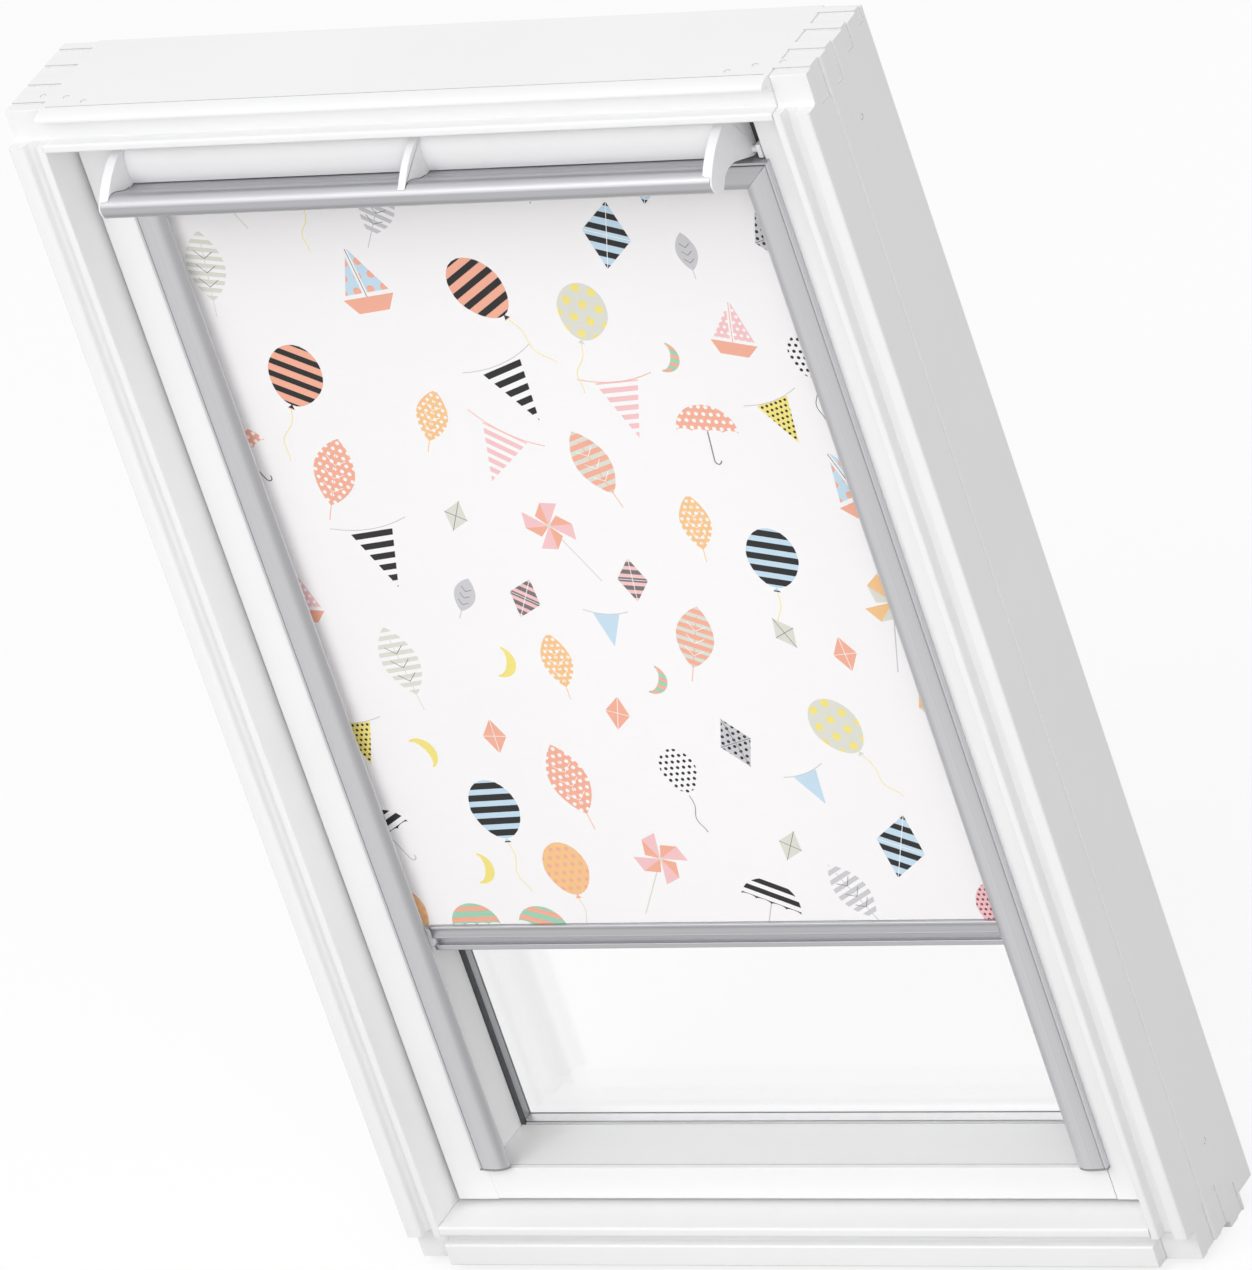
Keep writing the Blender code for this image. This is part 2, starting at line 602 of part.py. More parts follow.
def build_hinges(steel, seal_rubber):
    for side in (-1, 1):
        name = side_name(side)
        plate = hinge_outline(HINGE_WIDTH, HINGE_LENGTH)
        frame_half = section(f"frame_hinge_{name}", plate, "X", side * JAMB_IN,
                             side * (JAMB_IN + HINGE_FRAME_THICK), steel)
        pocket_floor = SASH_HALF - HINGE_SASH_THICK - FIT
        boss_end = pocket_floor + PIVOT_CLEARANCE
        join(frame_half, rod(f"join_pivot_{name}", PIVOT_DEPTH, PIVOT_Z, PIVOT_RADIUS,
                             side * boss_end, side * (JAMB_IN + HINGE_FRAME_THICK / 2)))
        sash_half = section(f"sash_hinge_{name}", plate, "X", side * (SASH_HALF - HINGE_SASH_THICK),
                            side * SASH_HALF, steel)
        cut(sash_half, rod(f"cut_pivot_{name}", PIVOT_DEPTH, PIVOT_Z, PIVOT_RADIUS + PIVOT_CLEARANCE,
                           side * (SASH_HALF - 0.01), side * (SASH_HALF + 0.01)))
        inner = side * (JAMB_IN - FIT - SEAL_THICK)
        outer = side * (JAMB_IN - FIT)
        box(f"jamb_seal_{name}", (min(inner, outer), SEAL_DEPTH, SILL_THICK + SEAL_END),
            (max(inner, outer), SEAL_DEPTH + SEAL_WIDTH, HEAD_UNDER - SEAL_END), seal_rubber)


# What lies beyond a stile's reveal, down to a depth
def past_reveal(name, side, far):
    front = SASH_FACE + EDGE_ROUND
    outline = [(OPEN_HALF - FIT, -0.03), (OPEN_HALF - FIT, front), (reveal_at(far) - FIT, far),
               (HALF + 0.01, far), (HALF + 0.01, -0.03)]
    return section(name, on_side(outline, side), "Z", -0.01, FRAME_HEIGHT + 0.01)


def build_sash(paint):
    corner = arc(OPEN_HALF + EDGE_ROUND, SASH_FACE + EDGE_ROUND, EDGE_ROUND, EDGE_ROUND, 180, 270, 4)
    corner += arc(SASH_HALF - EDGE_ROUND, SASH_FACE + EDGE_ROUND, EDGE_ROUND, EDGE_ROUND, 270, 360, 4)
    outline = corner + [(SASH_HALF, SASH_BACK), (GLASS_HALF + REBATE, SASH_BACK),
                        (GLASS_HALF + REBATE, GLASS_SEAT), (GLASS_HALF, GLASS_SEAT)]
    for side in (-1, 1):
        name = side_name(side)
        stile = section(f"sash_stile_{name}", on_side(outline, side), "Z", SASH_LOW, SASH_TOP, paint)
        hinge = hinge_outline(HINGE_WIDTH + 2 * FIT, HINGE_LENGTH + 2 * FIT)
        cut(stile, section(f"cut_sash_hinge_{name}", hinge, "X",
                           side * (SASH_HALF - HINGE_SASH_THICK - FIT), side * (SASH_HALF + 0.01)))
    end = GLASS_HALF + REBATE - FIT
    front = SASH_FACE + EDGE_ROUND
    rail = arc(front, SASH_LOW + EDGE_ROUND, EDGE_ROUND, EDGE_ROUND, 270, 180, 4)
    rail += arc(front, OPEN_LOW - EDGE_ROUND, EDGE_ROUND, EDGE_ROUND, 180, 90, 4)
    rail += [(GLASS_SEAT, GLASS_LOW), (GLASS_SEAT, GLASS_LOW - REBATE),
             (SASH_BACK, GLASS_LOW - REBATE), (SASH_BACK, SASH_LOW)]
    bottom = section("sash_bottom_rail", rail, "X", -end, end, paint)
    front = TOP_RAIL_FACE + EDGE_ROUND
    rail = arc(front, OPEN_TOP + EDGE_ROUND, EDGE_ROUND, EDGE_ROUND, 270, 180, 4)
    rail += arc(front, SASH_TOP - EDGE_ROUND, EDGE_ROUND, EDGE_ROUND, 180, 90, 4)
    rail += [(SASH_BACK, SASH_TOP), (SASH_BACK, OPEN_TOP + REBATE), (GLASS_SEAT, OPEN_TOP + REBATE),
             (GLASS_SEAT, OPEN_TOP)]
    top = section("sash_top_rail", rail, "X", -end, end, paint)
    for side in (-1, 1):
        cut(bottom, past_reveal(f"cut_bottom_rail_{side_name(side)}", side, GLASS_SEAT + FIT))
        cut(top, past_reveal(f"cut_top_rail_{side_name(side)}", side, GLASS_SEAT + FIT))
    vent_low = OPEN_TOP + VENT_ABOVE_OPENING
    for side in (-1, 1):
        low = min(side * VENT_IN, side * VENT_OUT)
        high = low + VENT_OUT - VENT_IN
        far = VENT_OUTLET_AT + VENT_OUTLET_DEPTH
        cut(top, box(f"cut_vent_{side_name(side)}", (low, 0, vent_low), (high, far, vent_low + VENT_HEIGHT)))
        cut(top, box(f"cut_vent_outlet_{side_name(side)}", (low, VENT_OUTLET_AT, vent_low + VENT_HEIGHT / 2),
                     (high, far, SASH_TOP + 0.01)))
    half = LATCH_CASE_WIDTH / 2 + FIT
    deep = LATCH_CASE_DEPTH / 2 + FIT
    cut(top, box("cut_latch_case", (-half, LATCH_AT - deep, LATCH_TOP - LATCH_CASE_HEIGHT - FIT),
                 (half, LATCH_AT + deep, SASH_TOP + 0.01)))


# Four strips round the edge of the panes
def edge_strips(tag, side_width, width, near, far, surface):
    for side in (-1, 1):
        inner = side * (PANE_HALF - side_width)
        outer = side * PANE_HALF
        box(f"{tag}_{side_name(side)}", (min(inner, outer), near, PANE_LOW),
            (max(inner, outer), far, PANE_TOP), surface)
    end = PANE_HALF - side_width - FIT
    box(f"{tag}_bottom", (-end, near, PANE_LOW), (end, far, PANE_LOW + width), surface)
    box(f"{tag}_top", (-end, near, PANE_TOP - width), (end, far, PANE_TOP), surface)


def build_glazing(rubber, glass, spacer_metal, cover_metal):
    lap = REBATE - PANE_EDGE_GAP
    edge_strips("glass_gasket", lap + GASKET_SIDE_LIP, lap + GASKET_END_LIP, GLASS_SEAT + FIT, GASKET_BACK,
                rubber)
    inner_face = GASKET_BACK + FIT
    box("inner_pane", (-PANE_HALF, inner_face, PANE_LOW),
        (PANE_HALF, inner_face + PANE_THICK, PANE_TOP), glass)
    spacer_face = inner_face + PANE_THICK + FIT
    edge_strips("glass_spacer", SPACER_WIDTH, SPACER_WIDTH, spacer_face, spacer_face + SPACER_THICK,
                spacer_metal)
    outer_face = spacer_face + SPACER_THICK + FIT
    outer_back = outer_face + PANE_THICK
    box("outer_pane", (-PANE_HALF, outer_face, PANE_LOW), (PANE_HALF, outer_back, PANE_TOP), glass)

    back = max(outer_back, SASH_BACK) + FIT
    bead = COVER_THICK + COVER_BEAD
    inner_x = PANE_HALF - COVER_OVERLAP
    outer_x = SASH_HALF - FIT
    outline = [(inner_x, back), (outer_x, back), (outer_x, back + COVER_THICK)]
    outline += arc(inner_x + bead, back + COVER_THICK, bead, COVER_BEAD, 0, 180, 10)
    for side in (-1, 1):
        section(f"glazing_cover_{side_name(side)}", on_side(outline, side), "Z", SASH_LOW + FIT,
                SASH_TOP - FIT, cover_metal)
    end = inner_x - FIT
    for place, glass_edge, sash_edge, turn in (("bottom", PANE_LOW + COVER_OVERLAP, SASH_LOW + FIT, -1),
                                               ("top", PANE_TOP - COVER_OVERLAP, SASH_TOP - FIT, 1)):
        outline = [(back, glass_edge), (back, sash_edge), (back + COVER_THICK, sash_edge)]
        outline += arc(back + COVER_THICK, glass_edge + turn * bead, COVER_BEAD, bead,
                       90 * turn, -90 * turn, 10)
        section(f"glazing_cover_{place}", outline, "X", -end, end, cover_metal)


def build_vent_and_latch(foam, steel, seal_rubber):
    near = TOP_RAIL_FACE + FILTER_SET_BACK
    low = OPEN_TOP + VENT_ABOVE_OPENING + FIT
    for side in (-1, 1):
        left = min(side * VENT_IN, side * VENT_OUT) + FIT
        box(f"air_filter_{side_name(side)}", (left, near, low),
            (left + VENT_OUT - VENT_IN - 2 * FIT, near + FILTER_DEPTH, low + VENT_HEIGHT - 2 * FIT), foam)
    seal_top = FLAP_TOP - FLAP_SEAL_BELOW_TOP
    seal_low = seal_top - FLAP_SEAL_HEIGHT
    leg_low = FLAP_TOP - FLAP_SEAL_LEG
    seal_half = reveal_at(TOP_RAIL_FACE) - FIT
    leg_in = FLAP_HALF + FLAP_SEAL_CLEARANCE
    seal = [(-seal_half, leg_low), (-leg_in, leg_low), (-leg_in, seal_low), (leg_in, seal_low),
            (leg_in, leg_low), (seal_half, leg_low), (seal_half, seal_top), (-seal_half, seal_top)]
    section("flap_seal", seal, "Y", TOP_RAIL_FACE - FIT - FLAP_SEAL_THICK, TOP_RAIL_FACE - FIT, seal_rubber)

    half = LATCH_CASE_WIDTH / 2
    case = box("latch_case", (-half, LATCH_AT - LATCH_CASE_DEPTH / 2, LATCH_TOP - LATCH_CASE_HEIGHT),
               (half, LATCH_AT + LATCH_CASE_DEPTH / 2, LATCH_TOP), steel)
    room = TONGUE_DEPTH / 2 + TONGUE_CLEARANCE
    cut(case, box("cut_tongue", (-TONGUE_WIDTH / 2 - TONGUE_CLEARANCE, LATCH_AT - room, LATCH_TOP - 0.03),
                  (TONGUE_WIDTH / 2 + TONGUE_CLEARANCE, LATCH_AT + room, LATCH_TOP + 0.01)))
    top = LATCH_TOP - FIT
    near, far = LATCH_AT - TONGUE_DEPTH / 2, LATCH_AT + TONGUE_DEPTH / 2
    tongue = [(near, top - TONGUE_HEIGHT), (far, top - TONGUE_HEIGHT), (far, top),
              (near + TONGUE_SLOPE, top), (near, top - TONGUE_SLOPE)]
    section("latch_tongue", tongue, "X", -TONGUE_WIDTH / 2, TONGUE_WIDTH / 2, steel)
    half = STRIKER_WIDTH / 2
    plate = box("striker_plate", (-half, LATCH_AT - STRIKER_DEPTH / 2, HEAD_UNDER),
                (half, LATCH_AT + STRIKER_DEPTH / 2, HEAD_UNDER + STRIKER_THICK), steel)
    cut(plate, box("cut_keeper", (-KEEPER_WIDTH / 2, LATCH_AT - KEEPER_DEPTH / 2, HEAD_UNDER - 0.01),
                   (KEEPER_WIDTH / 2, LATCH_AT + KEEPER_DEPTH / 2, HEAD_UNDER + 0.01)))


def at_bar(points):
    return [(depth, BAR_Z + rise) for depth, rise in points]


# The end bracket's outline, from the flap's top down its front, round the bar and back to the top rail
def bracket_outline():
    front = smooth(at_bar(BRACKET_FRONT), 5)
    grip = smooth([front[-1]] + at_bar(BRACKET_GRIP), 4)
    return [(FLAP_BACK, FLAP_TOP)] + front + grip[1:] + at_bar(BRACKET_REAR)


def build_flap(paint, aluminium, moulded):
    face = smooth(at_bar(FLAP_FACE), 6)
    outer = [(FLAP_BACK, FLAP_TOP)] + face
    flap = outer + list(reversed(beside(outer, FLAP_SHELL)))
    inner_x = FLAP_HALF - BRACKET_THICK
    section("vent_flap", flap, "X", -inner_x + FIT, inner_x - FIT, paint)

    crest = at_bar(BAR_TOP[:5]) + smooth(at_bar(BAR_TOP[5:]), 4)
    wrap = smooth([crest[-1]] + at_bar(BAR_FRONT), 4)
    outer = crest + wrap[1:]
    bar = outer + list(reversed(beside(outer, BAR_WALL)))
    bar_end = FLAP_HALF - BRACKET_CAP - FIT
    section("control_bar", bar, "X", -bar_end, bar_end, aluminium)

    front = smooth(at_bar(BRACKET_FRONT), 5)
    outline = bracket_outline()
    above_bar = beside(crest, -FIT)
    for side in (-1, 1):
        name = side_name(side)
        bracket = section(f"bar_bracket_{name}", outline, "X", side * inner_x, side * FLAP_HALF, moulded)
        under = above_bar + [(-0.06, above_bar[-1][1]), (-0.06, BAR_Z - 0.03),
                             (above_bar[0][0], BAR_Z - 0.03)]
        cut(bracket, section(f"cut_bar_end_{name}", under, "X", side * (inner_x - 0.01),
                             side * (FLAP_HALF - BRACKET_CAP)))
        cut(bracket, rod(f"cut_flap_pin_{name}", FLAP_PIVOT_DEPTH, FLAP_PIVOT_Z,
                         FLAP_PIN_RADIUS + FLAP_PIN_CLEARANCE,
                         side * (FLAP_HALF - FLAP_PIN_LENGTH - FIT), side * (FLAP_HALF + 0.01)))
        block_back = TOP_RAIL_FACE - FIT - FLAP_SEAL_THICK - FIT
        wall = side * (reveal_at(block_back) - FIT)
        block_x = wall - side * PIVOT_BLOCK_WIDTH
        low = OPEN_TOP + FIT
        block = box(f"flap_pivot_{name}", (min(wall, block_x), block_back - PIVOT_BLOCK_DEPTH, low),
                    (max(wall, block_x), block_back, low + PIVOT_BLOCK_HEIGHT), moulded)
        join(block, rod(f"join_flap_pin_{name}", FLAP_PIVOT_DEPTH, FLAP_PIVOT_Z, FLAP_PIN_RADIUS,
                        side * (FLAP_HALF - FLAP_PIN_LENGTH), block_x + side * PIVOT_BLOCK_WIDTH / 2))
    behind = beside(face, -FIT)
    foot = [point for point in above_bar if point[0] < behind[-1][0] - FIT]
    middle = [point for point in front if point[0] < behind[0][0] - FIT and point[1] > foot[-1][1]]
    rib = middle + list(reversed(foot)) + list(reversed(behind[1:]))
    section("bar_bracket_middle", rib, "X", -MIDDLE_BRACKET / 2, MIDDLE_BRACKET / 2, moulded)


# The rounded front of a channel or of the casing: (distance from its inner edge, depth)
def blind_front(width, steps=16):
    points = []
    for i in range(steps + 1):
        share = i / steps
        edge = CHANNEL_INNER_EDGE + (CHANNEL_OUTER_EDGE - CHANNEL_INNER_EDGE) * share
        bulge = math.sin(math.pi * share) ** 0.6
        points.append(((width - CHANNEL_LINE_AT) * share, edge - (edge - CHANNEL_FRONT) * bulge))
    line_end = width - CHANNEL_LINE_AT + CHANNEL_LINE_WIDTH
    return points + [(points[-1][0], CHANNEL_OUTER_EDGE + CHANNEL_LINE_DEPTH),
                     (line_end, CHANNEL_OUTER_EDGE + CHANNEL_LINE_DEPTH), (line_end, CHANNEL_OUTER_EDGE),
                     (width, CHANNEL_OUTER_EDGE)]


def build_channels(aluminium, moulded):
    front = [(CHANNEL_IN + u, v) for u, v in blind_front(CHANNEL_WIDTH)]
    under_lip = SASH_FACE - FIT
    web_back = reveal_at(CHANNEL_BACK) - FIT
    web_front = OPEN_HALF - FIT
    web_in = web_back - CHANNEL_WALL
    legs_in = CHANNEL_IN + CHANNEL_LEGS_AT
    outer = front + [(CHANNEL_OUT, under_lip), (web_front, under_lip), (web_front, SASH_FACE + EDGE_ROUND),
                     (web_back, CHANNEL_BACK), (legs_in, CHANNEL_BACK)]
    outline = outer + [(legs_in, SLOT_TO), (web_in, SLOT_TO), (web_in, SLOT_FROM), (legs_in, SLOT_FROM),
                       (legs_in, under_lip), (CHANNEL_IN, under_lip)]
    cap = outer + [(legs_in, under_lip), (CHANNEL_IN, under_lip)]
    foot = OPEN_LOW + CHANNEL_FOOT
    for side in (-1, 1):
        name = side_name(side)
        section(f"channel_cap_{name}", on_side(cap, side), "Z", foot, foot + CAP_THICK, moulded)
        channel = section(f"side_channel_{name}", on_side(outline, side), "Z", foot + CAP_THICK + FIT,
                          CASING_TOP, aluminium)
        past = [(CHANNEL_IN - 0.03, CASING_LOW - FIT), (CHANNEL_OUT + 0.01, CASING_LOW - FIT),
                (CHANNEL_OUT + 0.01, CASING_TOP + 0.01), (CHANNEL_IN - 0.03, CASING_TOP + 0.01)]
        cut(channel, section(f"cut_channel_top_{name}", on_side(past, side), "Y", SASH_FACE - FIT / 2,
                             GLASS_SEAT))
        slope = CASING_HEIGHT / CHANNEL_WIDTH
        reach = 0.02
        mitre = [(CHANNEL_IN - reach, CASING_LOW - FIT - reach * slope),
                 (CHANNEL_OUT + reach, CASING_TOP - FIT + reach * slope),
                 (CHANNEL_IN - reach, CASING_TOP + reach)]
        cut(channel, section(f"cut_channel_mitre_{name}", on_side(mitre, side), "Y", 0, SASH_FACE))


def build_casing(aluminium, moulded, steel):
    front = [(v, CASING_LOW + u) for u, v in blind_front(CASING_HEIGHT)]
    inner = SASH_FACE
    drop = CASING_TOP - CASING_BACK_DROP
    back_in = CASING_BACK - CASING_WALL
    top_in = CASING_TOP - CASING_WALL
    outline = front[:-1] + [(CHANNEL_OUTER_EDGE, CASING_TOP), (CASING_BACK, CASING_TOP), (CASING_BACK, drop),
                            (back_in, drop), (back_in, top_in), (inner, top_in),
                            (inner, CASING_LOW + CASING_WALL), (inner, CASING_LOW)]
    casing = section("blind_casing", outline, "X", -CHANNEL_OUT, CHANNEL_OUT, aluminium)
    slope = CASING_HEIGHT / CHANNEL_WIDTH
    reach = 0.02
    for side in (-1, 1):
        name = side_name(side)
        outline = [(OPEN_HALF - FIT, SASH_FACE - FIT), (OPEN_HALF - FIT, SASH_FACE + EDGE_ROUND),
                   (reveal_at(CASING_BACK + 0.005) - FIT, CASING_BACK + 0.005), (HALF, CASING_BACK + 0.005),
                   (HALF, SASH_FACE - FIT)]
        cut(casing, section(f"cut_casing_end_{name}", on_side(outline, side), "Z", CASING_LOW - 0.05,
                            CASING_TOP + 0.01))
        mitre = [(CHANNEL_IN - reach, CASING_LOW - reach * slope),
                 (CHANNEL_OUT + reach, CASING_TOP + reach * slope), (CHANNEL_OUT + reach, CASING_LOW - reach)]
        cut(casing, section(f"cut_casing_mitre_{name}", on_side(mitre, side), "Y", 0, SASH_FACE + 0.001))

        top = top_in - FIT
        far_x = side * (reveal_at(CASING_BACK) - END_BRACKET_GAP)
        near_x = far_x - side * END_BRACKET_THICK
        far = back_in - FIT
        low = top - END_BRACKET_HEIGHT
        bracket = box(f"roller_bracket_{name}", (min(near_x, far_x), far - END_BRACKET_DEPTH, low),
                      (max(near_x, far_x), far, top), moulded)
        axle_end = side * (TUBE_HALF + PLUG_FLANGE - AXLE_REACH)
        join(bracket, rod(f"join_axle_{name}", TUBE_DEPTH, TUBE_Z, AXLE_RADIUS, axle_end,
                          near_x + side * END_BRACKET_THICK / 2, sides=24))

        inside = TUBE_HALF - PLUG_LENGTH
        plug = rod(f"roller_plug_{name}", TUBE_DEPTH, TUBE_Z, TUBE_RADIUS - TUBE_WALL - FIT, side * inside,
                   side * (TUBE_HALF + FIT + PLUG_FLANGE / 2), moulded)
        join(plug, rod(f"join_flange_{name}", TUBE_DEPTH, TUBE_Z, PLUG_FLANGE_RADIUS,
                       side * (TUBE_HALF + FIT), side * (TUBE_HALF + FIT + PLUG_FLANGE)))
        cut(plug, rod(f"cut_axle_{name}", TUBE_DEPTH, TUBE_Z, AXLE_RADIUS + AXLE_CLEARANCE,
                      side * (inside - 0.01), side * (TUBE_HALF + 0.01), sides=24))
    sleeve("roller_tube", TUBE_DEPTH, TUBE_Z, TUBE_RADIUS - TUBE_WALL, TUBE_RADIUS, -TUBE_HALF, TUBE_HALF,
           aluminium)
    spindle_end = TUBE_HALF + PLUG_FLANGE - AXLE_REACH - FIT
    rod("spring_spindle", TUBE_DEPTH, TUBE_Z, AXLE_RADIUS, spindle_end - SPINDLE_LENGTH, spindle_end, steel,
        sides=24)
    spring_end = TUBE_HALF - PLUG_LENGTH - FIT
    spring_in = AXLE_RADIUS + AXLE_CLEARANCE
    sleeve("tension_spring", TUBE_DEPTH, TUBE_Z, spring_in, spring_in + SPRING_THICK,
           spring_end - SPRING_LENGTH, spring_end, steel, sides=24)


def build_shade(cloth, aluminium, moulded):
    sleeve("fabric_roll", TUBE_DEPTH, TUBE_Z, TUBE_RADIUS + FIT, ROLL_RADIUS, -FABRIC_HALF, FABRIC_HALF,
           cloth)
    box("blind_fabric", (-FABRIC_HALF, FABRIC_BACK - FABRIC_THICK, BAR_TOP_Z + FIT),
        (FABRIC_HALF, FABRIC_BACK, TUBE_Z), cloth)
    low = BAR_TOP_Z - BAR_HEIGHT
    grip_low = low + BAR_GRIP_FROM
    grip_high = low + BAR_GRIP_TO
    grip_in = BAR_FACE + BAR_GRIP
    outline = [(BAR_BACK, low), (BAR_BACK, BAR_TOP_Z)]
    outline += arc(BAR_FACE + EDGE_ROUND, BAR_TOP_Z - EDGE_ROUND, EDGE_ROUND, EDGE_ROUND, 90, 180, 4)
    outline += [(BAR_FACE, grip_high + EDGE_ROUND / 2), (BAR_FACE + EDGE_ROUND / 2, grip_high),
                (grip_in - EDGE_ROUND, grip_high), (grip_in, grip_high - EDGE_ROUND),
                (grip_in, grip_low), (BAR_FACE + EDGE_ROUND / 2, grip_low),
                (BAR_FACE, grip_low - EDGE_ROUND / 2)]
    outline += arc(BAR_FACE + EDGE_ROUND, low + EDGE_ROUND, EDGE_ROUND, EDGE_ROUND, 180, 270, 4)
    bar_half = CHANNEL_IN - BAR_SIDE_GAP
    section("bottom_bar", outline, "X", -bar_half, bar_half, aluminium)
    middle = BAR_TOP_Z - BAR_HEIGHT / 2
    for side in (-1, 1):
        start = side * (bar_half + FIT)
        end = side * (bar_half + FIT + GUIDE_LENGTH)
        box(f"bar_guide_{side_name(side)}",
            (min(start, end), SLOT_FROM + GUIDE_CLEARANCE, middle - GUIDE_HEIGHT / 2),
            (max(start, end), SLOT_TO - GUIDE_CLEARANCE, middle + GUIDE_HEIGHT / 2), moulded)


# Empties on the joint axes carry what moves
def carry(name, place, pieces, parent=None):
    axis = bpy.data.objects.new(name, None)
    axis.empty_display_size = 0.05
    axis.location = (place[0], y_at(place[1]), z_at(place[2]))
    PARTS.objects.link(axis)
    if parent:
        axis.parent = parent
        axis.matrix_parent_inverse = Matrix.Translation(-parent.matrix_world.translation)
    bpy.context.view_layer.update()
    for piece in pieces:
        item = bpy.data.objects[piece]
        item.parent = axis
        item.matrix_parent_inverse = axis.matrix_world.inverted()
    return axis


clear_scene()
PARTS = new_collection("roof_window_with_blind")
CUTTERS = new_collection("cutters")
FACE_Y = -(min(depth for depth, height in bracket_outline()) + FRAME_DEPTH) / 2

painted = material("painted_pine", (0.87, 0.87, 0.87), 0.35)
moulded_white = material("moulded_abs", (0.84, 0.84, 0.85), 0.40)
anodised = material("anodised_aluminium", (0.42, 0.42, 0.44), 0.35, 0.9)
lacquered = material("lacquered_aluminium", (0.13, 0.14, 0.15), 0.45, 0.4)
zinc_steel = material("zinc_plated_steel", (0.55, 0.56, 0.57), 0.35, 1.0)
float_glass = material("float_glass", (0.90, 0.95, 0.93), 0.02, 0.0, 0.25)
epdm = material("epdm_rubber", (0.03, 0.03, 0.03), 0.6)
spacer_steel = material("spacer_steel", (0.45, 0.45, 0.46), 0.4, 0.9)
filter_foam = material("filter_foam", (0.20, 0.20, 0.21), 0.95)
polyester = material("coated_polyester", (0.88, 0.87, 0.86), 0.85)
moulded_grey = material("grey_polyamide", (0.36, 0.36, 0.38), 0.5)

build_jambs(painted)
build_head(painted)
build_sill(painted)
build_hinges(zinc_steel, epdm)
build_sash(painted)
build_glazing(epdm, float_glass, spacer_steel, lacquered)
build_vent_and_latch(filter_foam, zinc_steel, epdm)
build_flap(painted, anodised, moulded_white)
build_channels(anodised, moulded_grey)
build_casing(anodised, moulded_white, zinc_steel)
build_shade(polyester, anodised, moulded_white)

SIDES = ("left", "right")
PLACES = ("left", "right", "top", "bottom")
sash_axis = carry("sash_pivot_axis", (0, PIVOT_DEPTH, PIVOT_Z),
                  [f"sash_stile_{s}" for s in SIDES] + [f"sash_hinge_{s}" for s in SIDES]
                  + [f"air_filter_{s}" for s in SIDES] + [f"flap_pivot_{s}" for s in SIDES]
                  + [f"side_channel_{s}" for s in SIDES] + [f"channel_cap_{s}" for s in SIDES]
                  + [f"roller_bracket_{s}" for s in SIDES] + [f"glazing_cover_{p}" for p in PLACES]
                  + [f"glass_gasket_{p}" for p in PLACES] + [f"glass_spacer_{p}" for p in PLACES]
                  + ["sash_top_rail", "sash_bottom_rail", "inner_pane", "outer_pane", "flap_seal",
                     "latch_case", "blind_casing", "spring_spindle", "tension_spring", "blind_fabric"])
carry("flap_axis", (0, FLAP_PIVOT_DEPTH, FLAP_PIVOT_Z),
      ["vent_flap", "control_bar", "bar_bracket_left", "bar_bracket_middle", "bar_bracket_right"], sash_axis)
carry("roller_axis", (0, TUBE_DEPTH, TUBE_Z),
      ["roller_tube", "fabric_roll", "roller_plug_left", "roller_plug_right"], sash_axis)
carry("blind_travel", (0, FABRIC_BACK, BAR_TOP_Z),
      ["bottom_bar", "bar_guide_left", "bar_guide_right"], sash_axis)
carry("latch_travel", (0, LATCH_AT, LATCH_TOP), ["latch_tongue"], sash_axis)

for piece in PARTS.objects:
    if piece.type != "MESH" or piece.modifiers:
        continue
    piece.data.shade_smooth()
    piece.data.set_sharp_from_angle(angle=math.radians(30))
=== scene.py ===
import json
import math
import random

